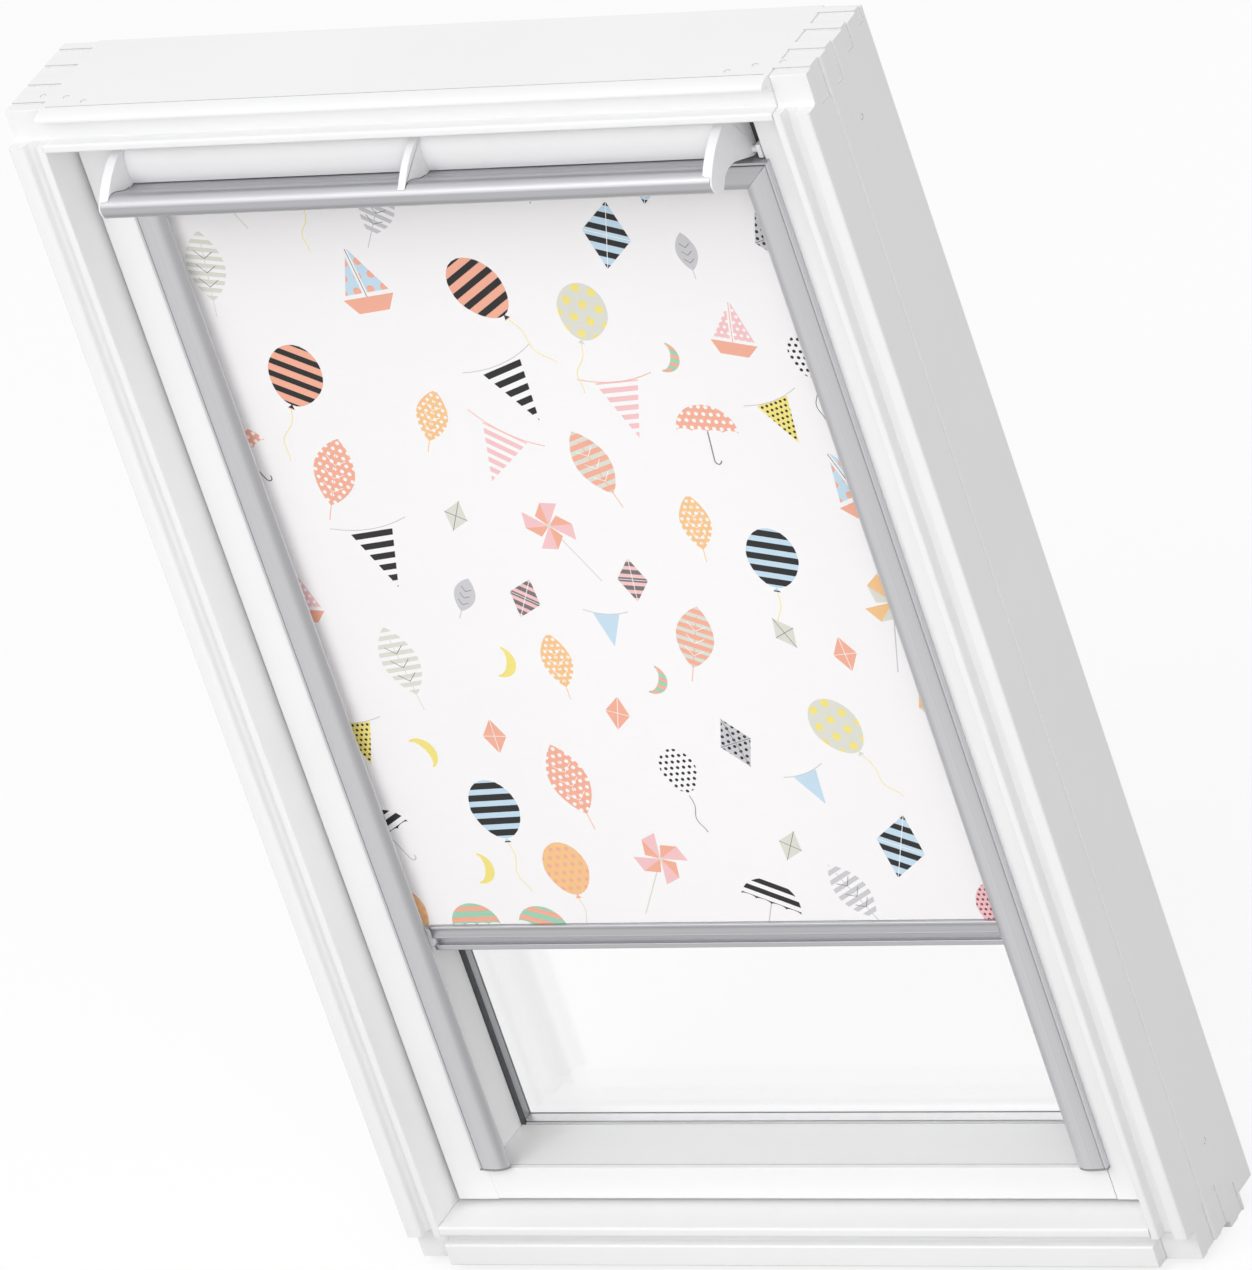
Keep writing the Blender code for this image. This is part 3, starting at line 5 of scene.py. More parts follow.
import bpy
from mathutils import Matrix, Vector
from mathutils.geometry import delaunay_2d_cdt
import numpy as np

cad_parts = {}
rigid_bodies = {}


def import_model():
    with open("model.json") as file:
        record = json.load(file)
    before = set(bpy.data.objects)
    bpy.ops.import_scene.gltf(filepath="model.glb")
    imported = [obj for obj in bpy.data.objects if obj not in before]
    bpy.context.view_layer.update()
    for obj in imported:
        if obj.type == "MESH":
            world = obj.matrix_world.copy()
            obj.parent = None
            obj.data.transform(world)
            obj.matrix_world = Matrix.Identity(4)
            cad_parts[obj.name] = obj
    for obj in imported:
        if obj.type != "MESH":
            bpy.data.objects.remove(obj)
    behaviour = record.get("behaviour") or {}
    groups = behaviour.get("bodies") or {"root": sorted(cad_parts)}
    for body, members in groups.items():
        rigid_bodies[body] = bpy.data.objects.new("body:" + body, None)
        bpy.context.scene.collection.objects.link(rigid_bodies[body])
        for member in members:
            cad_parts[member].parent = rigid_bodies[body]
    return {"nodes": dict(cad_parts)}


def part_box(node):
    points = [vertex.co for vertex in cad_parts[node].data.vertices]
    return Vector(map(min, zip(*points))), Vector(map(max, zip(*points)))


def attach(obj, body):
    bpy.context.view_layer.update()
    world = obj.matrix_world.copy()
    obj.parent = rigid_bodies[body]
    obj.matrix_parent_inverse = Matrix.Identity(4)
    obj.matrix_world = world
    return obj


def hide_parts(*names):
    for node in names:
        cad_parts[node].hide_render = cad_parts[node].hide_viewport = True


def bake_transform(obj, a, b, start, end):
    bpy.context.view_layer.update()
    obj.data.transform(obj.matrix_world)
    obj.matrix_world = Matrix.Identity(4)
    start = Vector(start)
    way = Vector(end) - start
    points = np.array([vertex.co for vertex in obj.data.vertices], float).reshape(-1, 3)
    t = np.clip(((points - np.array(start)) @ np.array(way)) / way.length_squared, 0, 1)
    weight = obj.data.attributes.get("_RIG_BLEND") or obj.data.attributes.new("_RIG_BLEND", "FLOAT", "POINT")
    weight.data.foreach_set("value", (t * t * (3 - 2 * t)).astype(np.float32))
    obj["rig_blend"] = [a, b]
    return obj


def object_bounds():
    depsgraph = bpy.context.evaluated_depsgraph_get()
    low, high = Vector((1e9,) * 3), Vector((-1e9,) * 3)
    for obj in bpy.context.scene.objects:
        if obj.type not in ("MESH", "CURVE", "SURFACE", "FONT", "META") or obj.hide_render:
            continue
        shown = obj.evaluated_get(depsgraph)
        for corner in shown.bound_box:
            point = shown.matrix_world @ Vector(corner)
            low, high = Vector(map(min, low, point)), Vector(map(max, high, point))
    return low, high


for item in list(bpy.data.objects):      # the new file's own cube, lamp and camera
    bpy.data.objects.remove(item)
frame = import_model()
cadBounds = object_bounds()
bpy.ops.object.select_all(action="DESELECT")
print("Roof window frame loaded:", len(frame["nodes"]), "pieces")


# Small helpers

def makeActive(item):
    bpy.ops.object.select_all(action="DESELECT")
    item.select_set(True)
    bpy.context.view_layer.objects.active = item


def applyModifier(item, kind, **settings):
    makeActive(item)
    modifier = item.modifiers.new(kind.title(), kind)
    for name, value in settings.items():
        setattr(modifier, name, value)
    bpy.ops.object.modifier_apply(modifier=modifier.name)


def applyPlace(item):      # the place goes into the mesh, the object stays at the origin
    makeActive(item)
    bpy.ops.object.transform_apply(location=True, rotation=True, scale=True)


def smoothByAngle(item, degrees):
    makeActive(item)
    bpy.ops.object.shade_smooth_by_angle(angle=math.radians(degrees))


def ownCopy(item, name):
    copy = bpy.data.objects.new(name, item.data.copy())
    bpy.context.scene.collection.objects.link(copy)
    return copy


def setFinish(item, *materials):
    item.data.materials.clear()
    for material in materials:
        item.data.materials.append(material)


def linearColour(hexColour):
    channels = [int(hexColour[i:i + 2], 16) / 255 for i in (0, 2, 4)]
    return [c / 12.92 if c <= 0.04045 else ((c + 0.055) / 1.055) ** 2.4 for c in channels] + [1.0]


# Adds a node. A setting whose name starts with a capital, or is a number, is an input's value
def addNode(tree, kind, settings=None, links=None):
    node = tree.nodes.new(kind)
    for name, value in (settings or {}).items():
        if isinstance(name, int) or name[0].isupper():
            node.inputs[name].default_value = value
        else:
            setattr(node, name, value)
    for name, source in (links or {}).items():
        tree.links.new(source, node.inputs[name])
    return node


def newFinish(name, settings):
    material = bpy.data.materials.new(name)
    material.use_nodes = True
    tree = material.node_tree
    shader = tree.nodes["Principled BSDF"]
    for key, value in settings.items():
        shader.inputs[key].default_value = value
    return material, tree, shader


# Two tones, a gloss that varies and a relief, linked to a finish's shader
def linkSurface(tree, shader, tones, toneShare, gloss, glossShare, relief):
    colour = addNode(tree, "ShaderNodeMix",
                     {"data_type": "RGBA", 6: linearColour(tones[0]), 7: linearColour(tones[1])},
                     {0: toneShare})
    roughness = addNode(tree, "ShaderNodeMapRange", {"To Min": gloss[0], "To Max": gloss[1]},
                        {"Value": glossShare})
    tree.links.new(colour.outputs[2], shader.inputs["Base Color"])
    tree.links.new(roughness.outputs[0], shader.inputs["Roughness"])
    tree.links.new(relief.outputs[0], shader.inputs["Normal"])


# Finishes. Pattern sizes are in metres: a noise of scale 1 / size has blobs of about that size

paint = {
    "colour": "F6F6F6", "shade": "F2F2F3",     # sprayed white, a trace greyer where it lies thin
    "grainWidth": 0.0042, "grainLength": 0.16, "grainDepth": 0.000009,
    "peelSize": 0.0016, "peelDepth": 0.000010, "cloudSize": 0.14,
    "roughness": (0.36, 0.50), "coat": 0.08, "coatRoughness": 0.25,
}


# Painted pine: planed softwood under sprayed satin acrylic. It gives an even white whose gloss
# breaks up a little along the grain
def paintedPine(name, grainAxis):
    material, tree, shader = newFinish(name, {"Coat Weight": paint["coat"],
                                              "Coat Roughness": paint["coatRoughness"]})
    place = addNode(tree, "ShaderNodeTexCoord")
    size = [1 / paint["grainWidth"]] * 3
    size[grainAxis] = 1 / paint["grainLength"]
    along = addNode(tree, "ShaderNodeMapping", {"Scale": size}, {"Vector": place.outputs["Object"]})
    grain = addNode(tree, "ShaderNodeTexNoise",
                    {"Scale": 1.0, "Detail": 3.0, "Roughness": 0.6, "Distortion": 0.4},
                    {"Vector": along.outputs[0]})
    peel = addNode(tree, "ShaderNodeTexNoise", {"Scale": 1 / paint["peelSize"], "Detail": 2.0},
                   {"Vector": place.outputs["Object"]})
    cloud = addNode(tree, "ShaderNodeTexNoise", {"Scale": 1 / paint["cloudSize"], "Detail": 2.0},
                    {"Vector": place.outputs["Object"]})
    fine = addNode(tree, "ShaderNodeBump", {"Distance": paint["peelDepth"]}, {"Height": peel.outputs["Fac"]})
    relief = addNode(tree, "ShaderNodeBump", {"Distance": paint["grainDepth"]},
                     {"Height": grain.outputs["Fac"], "Normal": fine.outputs[0]})
    linkSurface(tree, shader, (paint["colour"], paint["shade"]), cloud.outputs["Fac"],
                paint["roughness"], grain.outputs["Fac"], relief)
    return material


anodised = {
    "upright": ("DCDCDE", "CFCFD2"),
    "level": ("CBCBCE", "BDBDC0"),      # painted shade: the level sections take darker tones than the upright ones
    "lineWidth": 0.0007, "lineLength": 1.6, "lineDepth": 0.000004,
    "roughness": (0.34, 0.46),
}


# Anodised aluminium: extruded, etched and clear anodised. It gives a soft grey sheen with fine lines
# along the extrusion. The lines are drawn about three times too wide, or they wouldn't show
def anodisedAluminium(name, lineAxis, tones):
    material, tree, shader = newFinish(name, {"Metallic": 1.0})
    place = addNode(tree, "ShaderNodeTexCoord")
    size = [1 / anodised["lineWidth"]] * 3
    size[lineAxis] = 1 / anodised["lineLength"]
    along = addNode(tree, "ShaderNodeMapping", {"Scale": size}, {"Vector": place.outputs["Object"]})
    lines = addNode(tree, "ShaderNodeTexNoise", {"Scale": 1.0, "Detail": 2.0, "Roughness": 0.5},
                    {"Vector": along.outputs[0]})
    relief = addNode(tree, "ShaderNodeBump", {"Distance": anodised["lineDepth"]},
                     {"Height": lines.outputs["Fac"]})
    linkSurface(tree, shader, tones, lines.outputs["Fac"],
                anodised["roughness"], lines.outputs["Fac"], relief)
    return material


glossSpread = 0.05      # how far a speckled finish's roughness strays from its middle
cloudsPerGrain = 9      # its clouds are this much larger than its grain
speckled = {      # colour, second colour, roughness, metallic, grain size, grain depth, cell pattern
    # ABS: injection moulded against a spark-eroded tool, so white with a fine matt grain
    "mouldedAbs": ("F5F5F6", "F1F1F3", 0.38, 0.0, 0.0009, 0.000012, False),
    # Polyamide: moulded grey caps, duller than the metal beside them
    "greyPolyamide": ("96979A", "8D8E91", 0.55, 0.0, 0.0009, 0.000015, False),
    # Lacquered aluminium: roll-coated dark grey sheet with a slight orange peel
    "lacqueredAluminium": ("50545A", "4B4F55", 0.42, 0.0, 0.0022, 0.000020, False),
    # Zinc plated steel: cool bright metal, clouded by its passivation
    "zincPlatedSteel": ("BFC1C2", "A9ADB0", 0.34, 1.0, 0.0035, 0.000006, False),
    # Rolled stainless strip of the glazing's spacer, satin, painted near white on the top and bottom runs as a
    # painted reflection of the bright sky
    "spacerSteel": ("F0F0F1", "E6E6E8", 0.36, 1.0, 0.0012, 0.000004, False),
    # The spacer's upright runs: the same steel painted darker, as painted shade
    "spacerSteelDull": ("AEAFB2", "A2A3A6", 0.44, 1.0, 0.0012, 0.000004, False),
    # EPDM: extruded rubber, black with a dry bloom
    "epdmRubber": ("3A3B3D", "303133", 0.62, 0.0, 0.0010, 0.000020, False),
    # Silicone glazing tape: grey and soft, with a dull bloom
    "glazingTape": ("535457", "4A4B4E", 0.60, 0.0, 0.0012, 0.000015, False),
    # The same tape on the top and bottom runs, painted pale as painted light where the light falls on it
    "bleachedTape": ("D2D3D5", "C8C9CB", 0.65, 0.0, 0.0012, 0.000015, False),
    # Painted shade on the walls of the glue lines, screw holes and cutter lines: greyer and duller than the
    # paint beside it
    "jointPrimer": ("CFD0D2", "C4C5C8", 0.75, 0.0, 0.0008, 0.000020, False),
    # Filter foam: open cells of about 2 mm
    "filterFoam": ("4A4B4D", "2A2B2C", 0.90, 0.0, 0.0020, 0.000700, True),
    # Blackout coating on the blind's weather side, a rolled pale acrylic
    "blackoutCoating": ("DCDCDD", "D4D4D6", 0.60, 0.0, 0.0016, 0.000010, False),
}


def speckledFinish(name):
    colourA, colourB, roughness, metallic, size, depth, cells = speckled[name]
    material, tree, shader = newFinish(name, {"Metallic": metallic})
    place = addNode(tree, "ShaderNodeTexCoord")
    kind = "ShaderNodeTexVoronoi" if cells else "ShaderNodeTexNoise"
    grain = addNode(tree, kind, {"Scale": 1 / size}, {"Vector": place.outputs["Object"]})
    cloud = addNode(tree, "ShaderNodeTexNoise", {"Scale": 1 / (size * cloudsPerGrain), "Detail": 3.0},
                    {"Vector": place.outputs["Object"]})
    toneShare = grain.outputs["Distance"] if cells else cloud.outputs["Fac"]
    relief = addNode(tree, "ShaderNodeBump", {"Distance": depth}, {"Height": grain.outputs[0]})
    linkSurface(tree, shader, (colourA, colourB), toneShare,
                (roughness - glossSpread, roughness + glossSpread), cloud.outputs["Fac"], relief)
    return material


glass = {"colour": "FFFFFF", "ior": 1.52, "lightThrough": 0.94}


# Float glass: drawn flat on molten tin, so clear with no green in a pane this thin. Light for
# the parts behind a pane passes straight through it
def floatGlass():
    material, tree, shader = newFinish("floatGlass", {
        "Base Color": linearColour(glass["colour"]), "Roughness": 0.0, "IOR": glass["ior"],
        "Transmission Weight": 1.0})
    rays = addNode(tree, "ShaderNodeLightPath")
    solid = addNode(tree, "ShaderNodeMath", {"operation": "MULTIPLY_ADD", 1: -glass["lightThrough"], 2: 1.0},
                    {0: rays.outputs["Is Shadow Ray"]})
    tree.links.new(solid.outputs[0], shader.inputs["Alpha"])
    return material


finish = {name: speckledFinish(name) for name in speckled}
finish["paintUpright"] = paintedPine("paintedPineUpright", 2)
finish["paintLevel"] = paintedPine("paintedPineLevel", 0)
finish["metalUpright"] = anodisedAluminium("anodisedAluminiumUpright", 2, anodised["upright"])
finish["metalLevel"] = anodisedAluminium("anodisedAluminiumLevel", 0, anodised["level"])
finish["floatGlass"] = floatGlass()
print("Finishes made:", len(finish))


# The woodwork, the metal sections and the mouldings: a copy of each CAD piece with worn-in edges

copying = {      # angles in degrees
    "merge": 0.00001, "flatAngle": 1, "sharpAngle": 35, "smoothAngle": 40, "segments": 2, "normalWeight": 50,
}
woodwork = {      # edge rounding in metres, shortest edge that is rounded, finish
    "frame_head": (0.0005, 0.0200, "paintLevel"),
    "frame_sill": (0.0005, 0.0200, "paintLevel"),
    "frame_jamb_left": (0.0005, 0.0200, "paintUpright"),
    "frame_jamb_right": (0.0005, 0.0200, "paintUpright"),
    "sash_top_rail": (0.0005, 0.0200, "paintLevel"),
    "sash_bottom_rail": (0.0005, 0.0200, "paintLevel"),
    "sash_stile_left": (0.0005, 0.0200, "paintUpright"),
    "sash_stile_right": (0.0005, 0.0200, "paintUpright"),
    "vent_flap": (0.0005, 0.0200, "paintLevel"),
}
metalSections = {
    "control_bar": (0.0004, 0.0060, "metalLevel"),
    "blind_casing": (0.0004, 0.0060, "metalLevel"),
    "bottom_bar": (0.0004, 0.0060, "metalLevel"),
    "side_channel_left": (0.0003, 0.0060, "metalUpright"),
    "side_channel_right": (0.0003, 0.0060, "metalUpright"),
    "glazing_cover_top": (0.0005, 0.0060, "lacqueredAluminium"),
    "glazing_cover_bottom": (0.0005, 0.0060, "lacqueredAluminium"),
    "glazing_cover_left": (0.0005, 0.0060, "lacqueredAluminium"),
    "glazing_cover_right": (0.0005, 0.0060, "lacqueredAluminium"),
}
mouldings = {
    "bar_bracket_left": (0.0004, 0.0014, "mouldedAbs"),
    "bar_bracket_middle": (0.0004, 0.0014, "mouldedAbs"),
    "bar_bracket_right": (0.0004, 0.0014, "mouldedAbs"),
    "flap_pivot_left": (0.0003, 0.0014, "mouldedAbs"),
    "flap_pivot_right": (0.0003, 0.0014, "mouldedAbs"),
    "channel_cap_left": (0.0003, 0.0014, "greyPolyamide"),
    "channel_cap_right": (0.0003, 0.0014, "greyPolyamide"),
    "bar_guide_left": (0.0003, 0.0014, "mouldedAbs"),
    "bar_guide_right": (0.0003, 0.0014, "mouldedAbs"),
}
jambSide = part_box("frame_jamb_right")[1].x
# The line along each jamb's side is eased on its weather edge
wideEdge = {"radius": 0.0014, "y": -0.004755, "within": 0.00005}
nodeBody = {name: item.parent.name.split(":")[-1] for name, item in frame["nodes"].items()}


def onWideEdge(point):
    return (abs(abs(point.x) - jambSide) < wideEdge["within"]
            and abs(point.y - wideEdge["y"]) < wideEdge["within"])


# The CAD mesh is loose triangles: they are merged and dissolved to faces, and the long sharp edges rounded
def dressPiece(node, settings, holes=()):
    edgeRadius, shortest, finishName = settings
    piece = ownCopy(frame["nodes"][node], "dressed_" + node)
    makeActive(piece)
    bpy.ops.mesh.customdata_custom_splitnormals_clear()
    bpy.ops.object.mode_set(mode="EDIT")
    bpy.ops.mesh.select_all(action="SELECT")
    bpy.ops.mesh.remove_doubles(threshold=copying["merge"])
    bpy.ops.mesh.dissolve_limited(angle_limit=math.radians(copying["flatAngle"]))
    bpy.ops.object.mode_set(mode="OBJECT")
    smoothByAngle(piece, copying["sharpAngle"])
    mesh = piece.data
    mesh.attributes.new("bevel_weight_edge", "FLOAT", "EDGE")
    sharp, weight = mesh.attributes["sharp_edge"], mesh.attributes["bevel_weight_edge"]
    for edge in mesh.edges:
        ends = [mesh.vertices[i].co for i in edge.vertices]
        if sharp.data[edge.index].value and (ends[0] - ends[1]).length > shortest:
            wide = "jamb" in node and all(onWideEdge(end) for end in ends)
            weight.data[edge.index].value = 1.0 if wide else edgeRadius / wideEdge["radius"]
    applyModifier(piece, "BEVEL", width=wideEdge["radius"], segments=copying["segments"],
                  limit_method="WEIGHT", use_clamp_overlap=False)
    setFinish(piece, finish[finishName])
    for hole in holes:
        applyModifier(piece, "BOOLEAN", object=hole, operation="DIFFERENCE", solver="EXACT",
                      material_mode="TRANSFER")
    smoothByAngle(piece, copying["smoothAngle"])
    applyModifier(piece, "WEIGHTED_NORMAL", mode="FACE_AREA", weight=copying["normalWeight"], keep_sharp=True)
    if "bevel_weight_edge" in piece.data.attributes:
        piece.data.attributes.remove(piece.data.attributes["bevel_weight_edge"])
    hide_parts(node)
    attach(piece, nodeBody[node])


frameScrews = {
    "holeRadius": 0.0028, "holeDepth": 0.0012, "sides": 24,
    "headRadius": 0.0025, "headHeight": 0.0010, "headEdge": 0.00025,
    "crossWidth": 0.0007, "crossLength": 0.003125, "crossHeight": 0.0011,
    # place of each hole on its face, in metres: (x, y) on top, (y, z) on the sides
    "top": [(-0.3623, -0.0118), (-0.3373, -0.0154), (-0.3159, -0.0235),
            (0.3116, -0.0233), (0.3344, -0.0155), (0.3590, -0.0118)],
    "side": [(0.0259, 1.1084), (0.0267, 0.0881)],
}
jointLines = {      # the glue lines of the corner fingers, opened a little as the paint draws back from them; their walls take a grey painted shade
    "width": 0.0016, "depth": 0.0006, "length": 0.0362, "x": 0.3725, "y": (-0.0223, 0.0076, 0.0391, 0.0661),
}


def boxCutter(place, size, finishName):
    bpy.ops.mesh.primitive_cube_add(size=1, location=place)
    cutter = bpy.context.active_object
    cutter.scale = size
    applyPlace(cutter)
    setFinish(cutter, finish[finishName])
    return cutter


def turnTowards(outward):      # from +Z
    return Vector((0, 0, 1)).rotation_difference(Vector(outward))


# A pan-head screw that looks along +Z: a turned head with a cross recess
def screwHead():
    size = frameScrews
    bpy.ops.mesh.primitive_cylinder_add(vertices=size["sides"], radius=size["headRadius"],
                                        depth=size["headHeight"], location=(0, 0, size["headHeight"] / 2))
    head = bpy.context.active_object
    head.name = "screwPattern"
    applyPlace(head)
    for turn in (0, 90):
        cutter = boxCutter((0, 0, size["headHeight"]),
                           (size["crossLength"], size["crossWidth"], size["crossHeight"]), "zincPlatedSteel")
        cutter.rotation_euler.z = math.radians(turn)
        applyPlace(cutter)
        applyModifier(head, "BOOLEAN", object=cutter, operation="DIFFERENCE", solver="EXACT")
        bpy.data.objects.remove(cutter)
    applyModifier(head, "BEVEL", width=size["headEdge"], segments=copying["segments"],
                  limit_method="ANGLE", angle_limit=math.radians(copying["smoothAngle"]))
    smoothByAngle(head, copying["smoothAngle"])
    setFinish(head, finish["zincPlatedSteel"])
    return head


screwPattern = screwHead()


# A screw head with its axis on a direction, sunk below a place on a surface
def placeScrew(name, place, outward, body, sunk, painted=False):
    screw = ownCopy(screwPattern, name)
    if painted:
        setFinish(screw, finish["paintLevel"])
    turn = turnTowards(outward).to_matrix().to_4x4()
    screw.matrix_world = Matrix.Translation(Vector(place) - Vector(outward) * sunk) @ turn
    applyPlace(screw)
    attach(screw, body)


def screwHole(place, outward):
    size = frameScrews
    bpy.ops.mesh.primitive_cylinder_add(vertices=size["sides"], radius=size["holeRadius"],
                                        depth=size["holeDepth"] * 2, location=place)
    hole = bpy.context.active_object
    hole.rotation_euler = turnTowards(outward).to_euler()
    applyPlace(hole)
    # the hole's walls take this grey painted shade
    setFinish(hole, finish["jointPrimer"])
    return hole


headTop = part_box("frame_head")[1].z
holes = {"frame_head": [], "frame_jamb_left": [], "frame_jamb_right": []}
number = 0
for x, y in frameScrews["top"]:
    hole = screwHole((x, y, headTop), (0, 0, 1))
    for node in ("frame_head", "frame_jamb_left", "frame_jamb_right"):
        holes[node].append(hole)
    placeScrew(f"frame_screw_{number}", (x, y, headTop), (0, 0, 1), "frame", frameScrews["holeDepth"],
               painted=True)
    number += 1
for sideName, side in (("left", -1), ("right", 1)):
    for y, z in frameScrews["side"]:
        place, outward = (side * jambSide, y, z), (side, 0, 0)
        holes["frame_jamb_" + sideName].append(screwHole(place, outward))
        placeScrew(f"frame_screw_{number}", place, outward, "frame", frameScrews["holeDepth"], painted=True)
        number += 1

# A slot along each glue line that shows on the head's top, its walls in grey painted shade
for y in jointLines["y"]:
    for sideName, side in (("left", -1), ("right", 1)):
        slot = boxCutter((side * jointLines["x"], y, headTop),
                         (jointLines["length"], jointLines["width"], jointLines["depth"] * 2), "jointPrimer")
        holes["frame_head"].append(slot)
        holes["frame_jamb_" + sideName].append(slot)

# Fine scratch lines left by the moulding cutter: where the head's nose starts, and by the sash ledge's edge;
# their walls take a grey painted shade
cutterLines = {      # middle and size of each, in metres
    "frame_head": ((0, -0.0312, headTop), (0.700, 0.0009, 0.0010)),
    "sash_bottom_rail": ((0, -0.0033, 0.08466), (0.640, 0.0011, 0.0012)),
}
for node, (place, size) in cutterLines.items():
    holes.setdefault(node, []).append(boxCutter(place, size, "jointPrimer"))

# The bottom bar's front is drawn with a shallow hollow, which turns from dull to bright down its height
barHollow = {"radius": 0.009, "depth": 0.0012, "y": -0.0050, "z": 0.3293, "length": 0.60, "sides": 160}
bpy.ops.mesh.primitive_cylinder_add(
    vertices=barHollow["sides"], radius=barHollow["radius"], depth=barHollow["length"],
    rotation=(0, math.radians(90), 0),
    location=(0, barHollow["y"] - barHollow["radius"] + barHollow["depth"], barHollow["z"]))
hollow = bpy.context.active_object
applyPlace(hollow)
setFinish(hollow, finish["metalLevel"])
holes["bottom_bar"] = [hollow]

# The jambs' side groove ends in a hairline against its room edge
hairline = {"width": 0.0008, "depth": 0.0026, "y": -0.0061, "pastEnds": 0.005}
for sideName, side in (("left", -1), ("right", 1)):
    low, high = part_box("frame_jamb_" + sideName)
    line = boxCutter((side * jambSide, hairline["y"], (low.z + high.z) / 2),
                     (2 * hairline["depth"], hairline["width"], high.z - low.z + 2 * hairline["pastEnds"]),
                     "paintUpright")
    holes["frame_jamb_" + sideName].append(line)

for group in (woodwork, metalSections, mouldings):
    for node, settings in group.items():
        dressPiece(node, settings, holes.get(node, ()))
for hole in set(sum(holes.values(), [])):
    bpy.data.objects.remove(hole)
print("Woodwork, sections and mouldings dressed")


# Cover screws on the weather side

# sunk is below zero because these heads stand a little proud
coverScrews = {"pitch": 0.21, "inset": 0.022, "sunk": -0.0001, "endPlaces": (-0.2, 0.0, 0.2)}
number = 0
for sideName in ("left", "right"):
    low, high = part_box("glazing_cover_" + sideName)
    middle = (low.x + high.x) / 2
    count = int((high.z - low.z - 2 * coverScrews["inset"]) / coverScrews["pitch"]) + 1
    for step in range(count + 1):
        z = low.z + coverScrews["inset"] + step * (high.z - low.z - 2 * coverScrews["inset"]) / count
        placeScrew(f"cover_screw_{number}", (middle, high.y, z), (0, 1, 0), "sash", coverScrews["sunk"])
        number += 1
for end in ("top", "bottom"):
    low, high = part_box("glazing_cover_" + end)
    middle = (low.z + high.z) / 2
    for x in coverScrews["endPlaces"]:
        placeScrew(f"cover_screw_{number}", (x, high.y, middle), (0, 1, 0), "sash", coverScrews["sunk"])
        number += 1
bpy.data.objects.remove(screwPattern)
print("Screws placed")


# The blind's printed cloth

cloth = {
    "thickness": 0.0006, "gridStep": 0.03, "tolerance": 0.000001, "merge": 0.000002,
    "threadPitch": 0.0011,      # real threads are 0.25 mm apart, which wouldn't show
    "threadDepth": 0.00003, "slubLength": 0.05, "slubWidth": 0.0015, "slubTone": 0.975,
    "roughness": 0.72, "sheen": 0.12, "sheenRoughness": 0.5,
    "stringWidth": 0.0008, "motifScale": 1.10,
    "stripeFrom": 0.27, "dotRadius": 0.27,      # shares of a motif's mark pitch
    "inks": {"coral": "F2AE95", "black": "1D1C1E", "blue": "C4DCEC", "yellow": "F2E27F", "stone": "DCDCD2",
             "mint": "9ED0B4", "pink": "F3C3C5", "apricot": "F5C48B", "grey": "CBCACE", "white": "F7F5F6",
             "plum": "8E3B54", "slate": "75706F"},      # the bare ground takes the white
}


def ring(count, radiusX, radiusY, centre=(0, 0), start=0.0, sweep=360.0):
    ends = count if sweep == 360 else count + 1      # a full ring doesn't repeat its first point
    angles = [math.radians(start + sweep * i / count) for i in range(ends)]
    return [(centre[0] + radiusX * math.cos(a), centre[1] + radiusY * math.sin(a)) for a in angles]


# A thin printed line along some points
def inkLine(points, width):
    left, right = [], []
    for i, point in enumerate(points):
        before, after = Vector(points[max(i - 1, 0)]), Vector(points[min(i + 1, len(points) - 1)])
        side = (after - before).normalized().orthogonal() * width / 2
        left.append(tuple(Vector(point) + side))
        right.append(tuple(Vector(point) - side))
    return left + right[::-1]


def wavyString(top, length, sway, turns, steps=14):
    return [(top[0] + sway * math.sin(turns * math.pi * i / steps) * (0.35 + i / steps),
             top[1] - length * i / steps) for i in range(steps + 1)]


# Each motif is a list of (outline, ink role) for a height of s. Only the role "body" takes stripes or dots
def balloon(s, width):
    body = [(x * (1 - 0.16 * max(0, -y) / (0.5 * s)), y) for x, y in ring(28, 0.36 * s, 0.44 * s)]
    return [(body, "body"), ([(-0.05 * s, -0.50 * s), (0.05 * s, -0.50 * s), (0, -0.43 * s)], "body"),
            (inkLine(wavyString((0, -0.505 * s), 0.75 * s, 0.05 * s, 2.5), width), "line")]


def diamond(s, width):
    points = [(0, 0.5 * s), (0.33 * s, 0), (0, -0.5 * s), (-0.33 * s, 0)]
    return [(points, "body"), (inkLine([points[0], (0, 0), points[2]], width * 0.8), "crease"),
            (inkLine([points[3], (0, 0), points[1]], width * 0.8), "crease")]


def pennant(s, width):
    cord = [(0.62 * s * u, 0.43 * s + 0.10 * s * u ** 2) for u in (i / 4 - 1 for i in range(9))]
    return [([(-0.36 * s, 0.44 * s), (0, -0.5 * s), (0.36 * s, 0.44 * s)], "body"),
            (inkLine(cord, width), "line")]


def leaf(s, width):
    side = [(0.27 * s * math.sin(math.pi * i / 12) ** 0.8, 0.5 * s - s * i / 12) for i in range(13)]
    outline = side + [(-x, y) for x, y in side[-2:0:-1]]
    veins = [(inkLine([(0, 0.34 * s), (0, 0), (0, -0.72 * s)], width), "line")]
    for i in range(3):
        y = (0.18 - 0.2 * i) * s
        for turn in (-1, 1):
            vein = [(0, y - 0.08 * s), (turn * 0.13 * s, y + 0.03 * s)]
            veins.append((inkLine(vein, width * 0.8), "crease"))
    return [(outline, "body")] + veins


def halfMoon(s, width):
    outer = ring(20, 0.46 * s, 0.46 * s, (0, 0), -90, 180)
    inner = ring(16, 0.20 * s, 0.40 * s, (0, 0), 85, -170)
    return [(outer + inner, "body")]


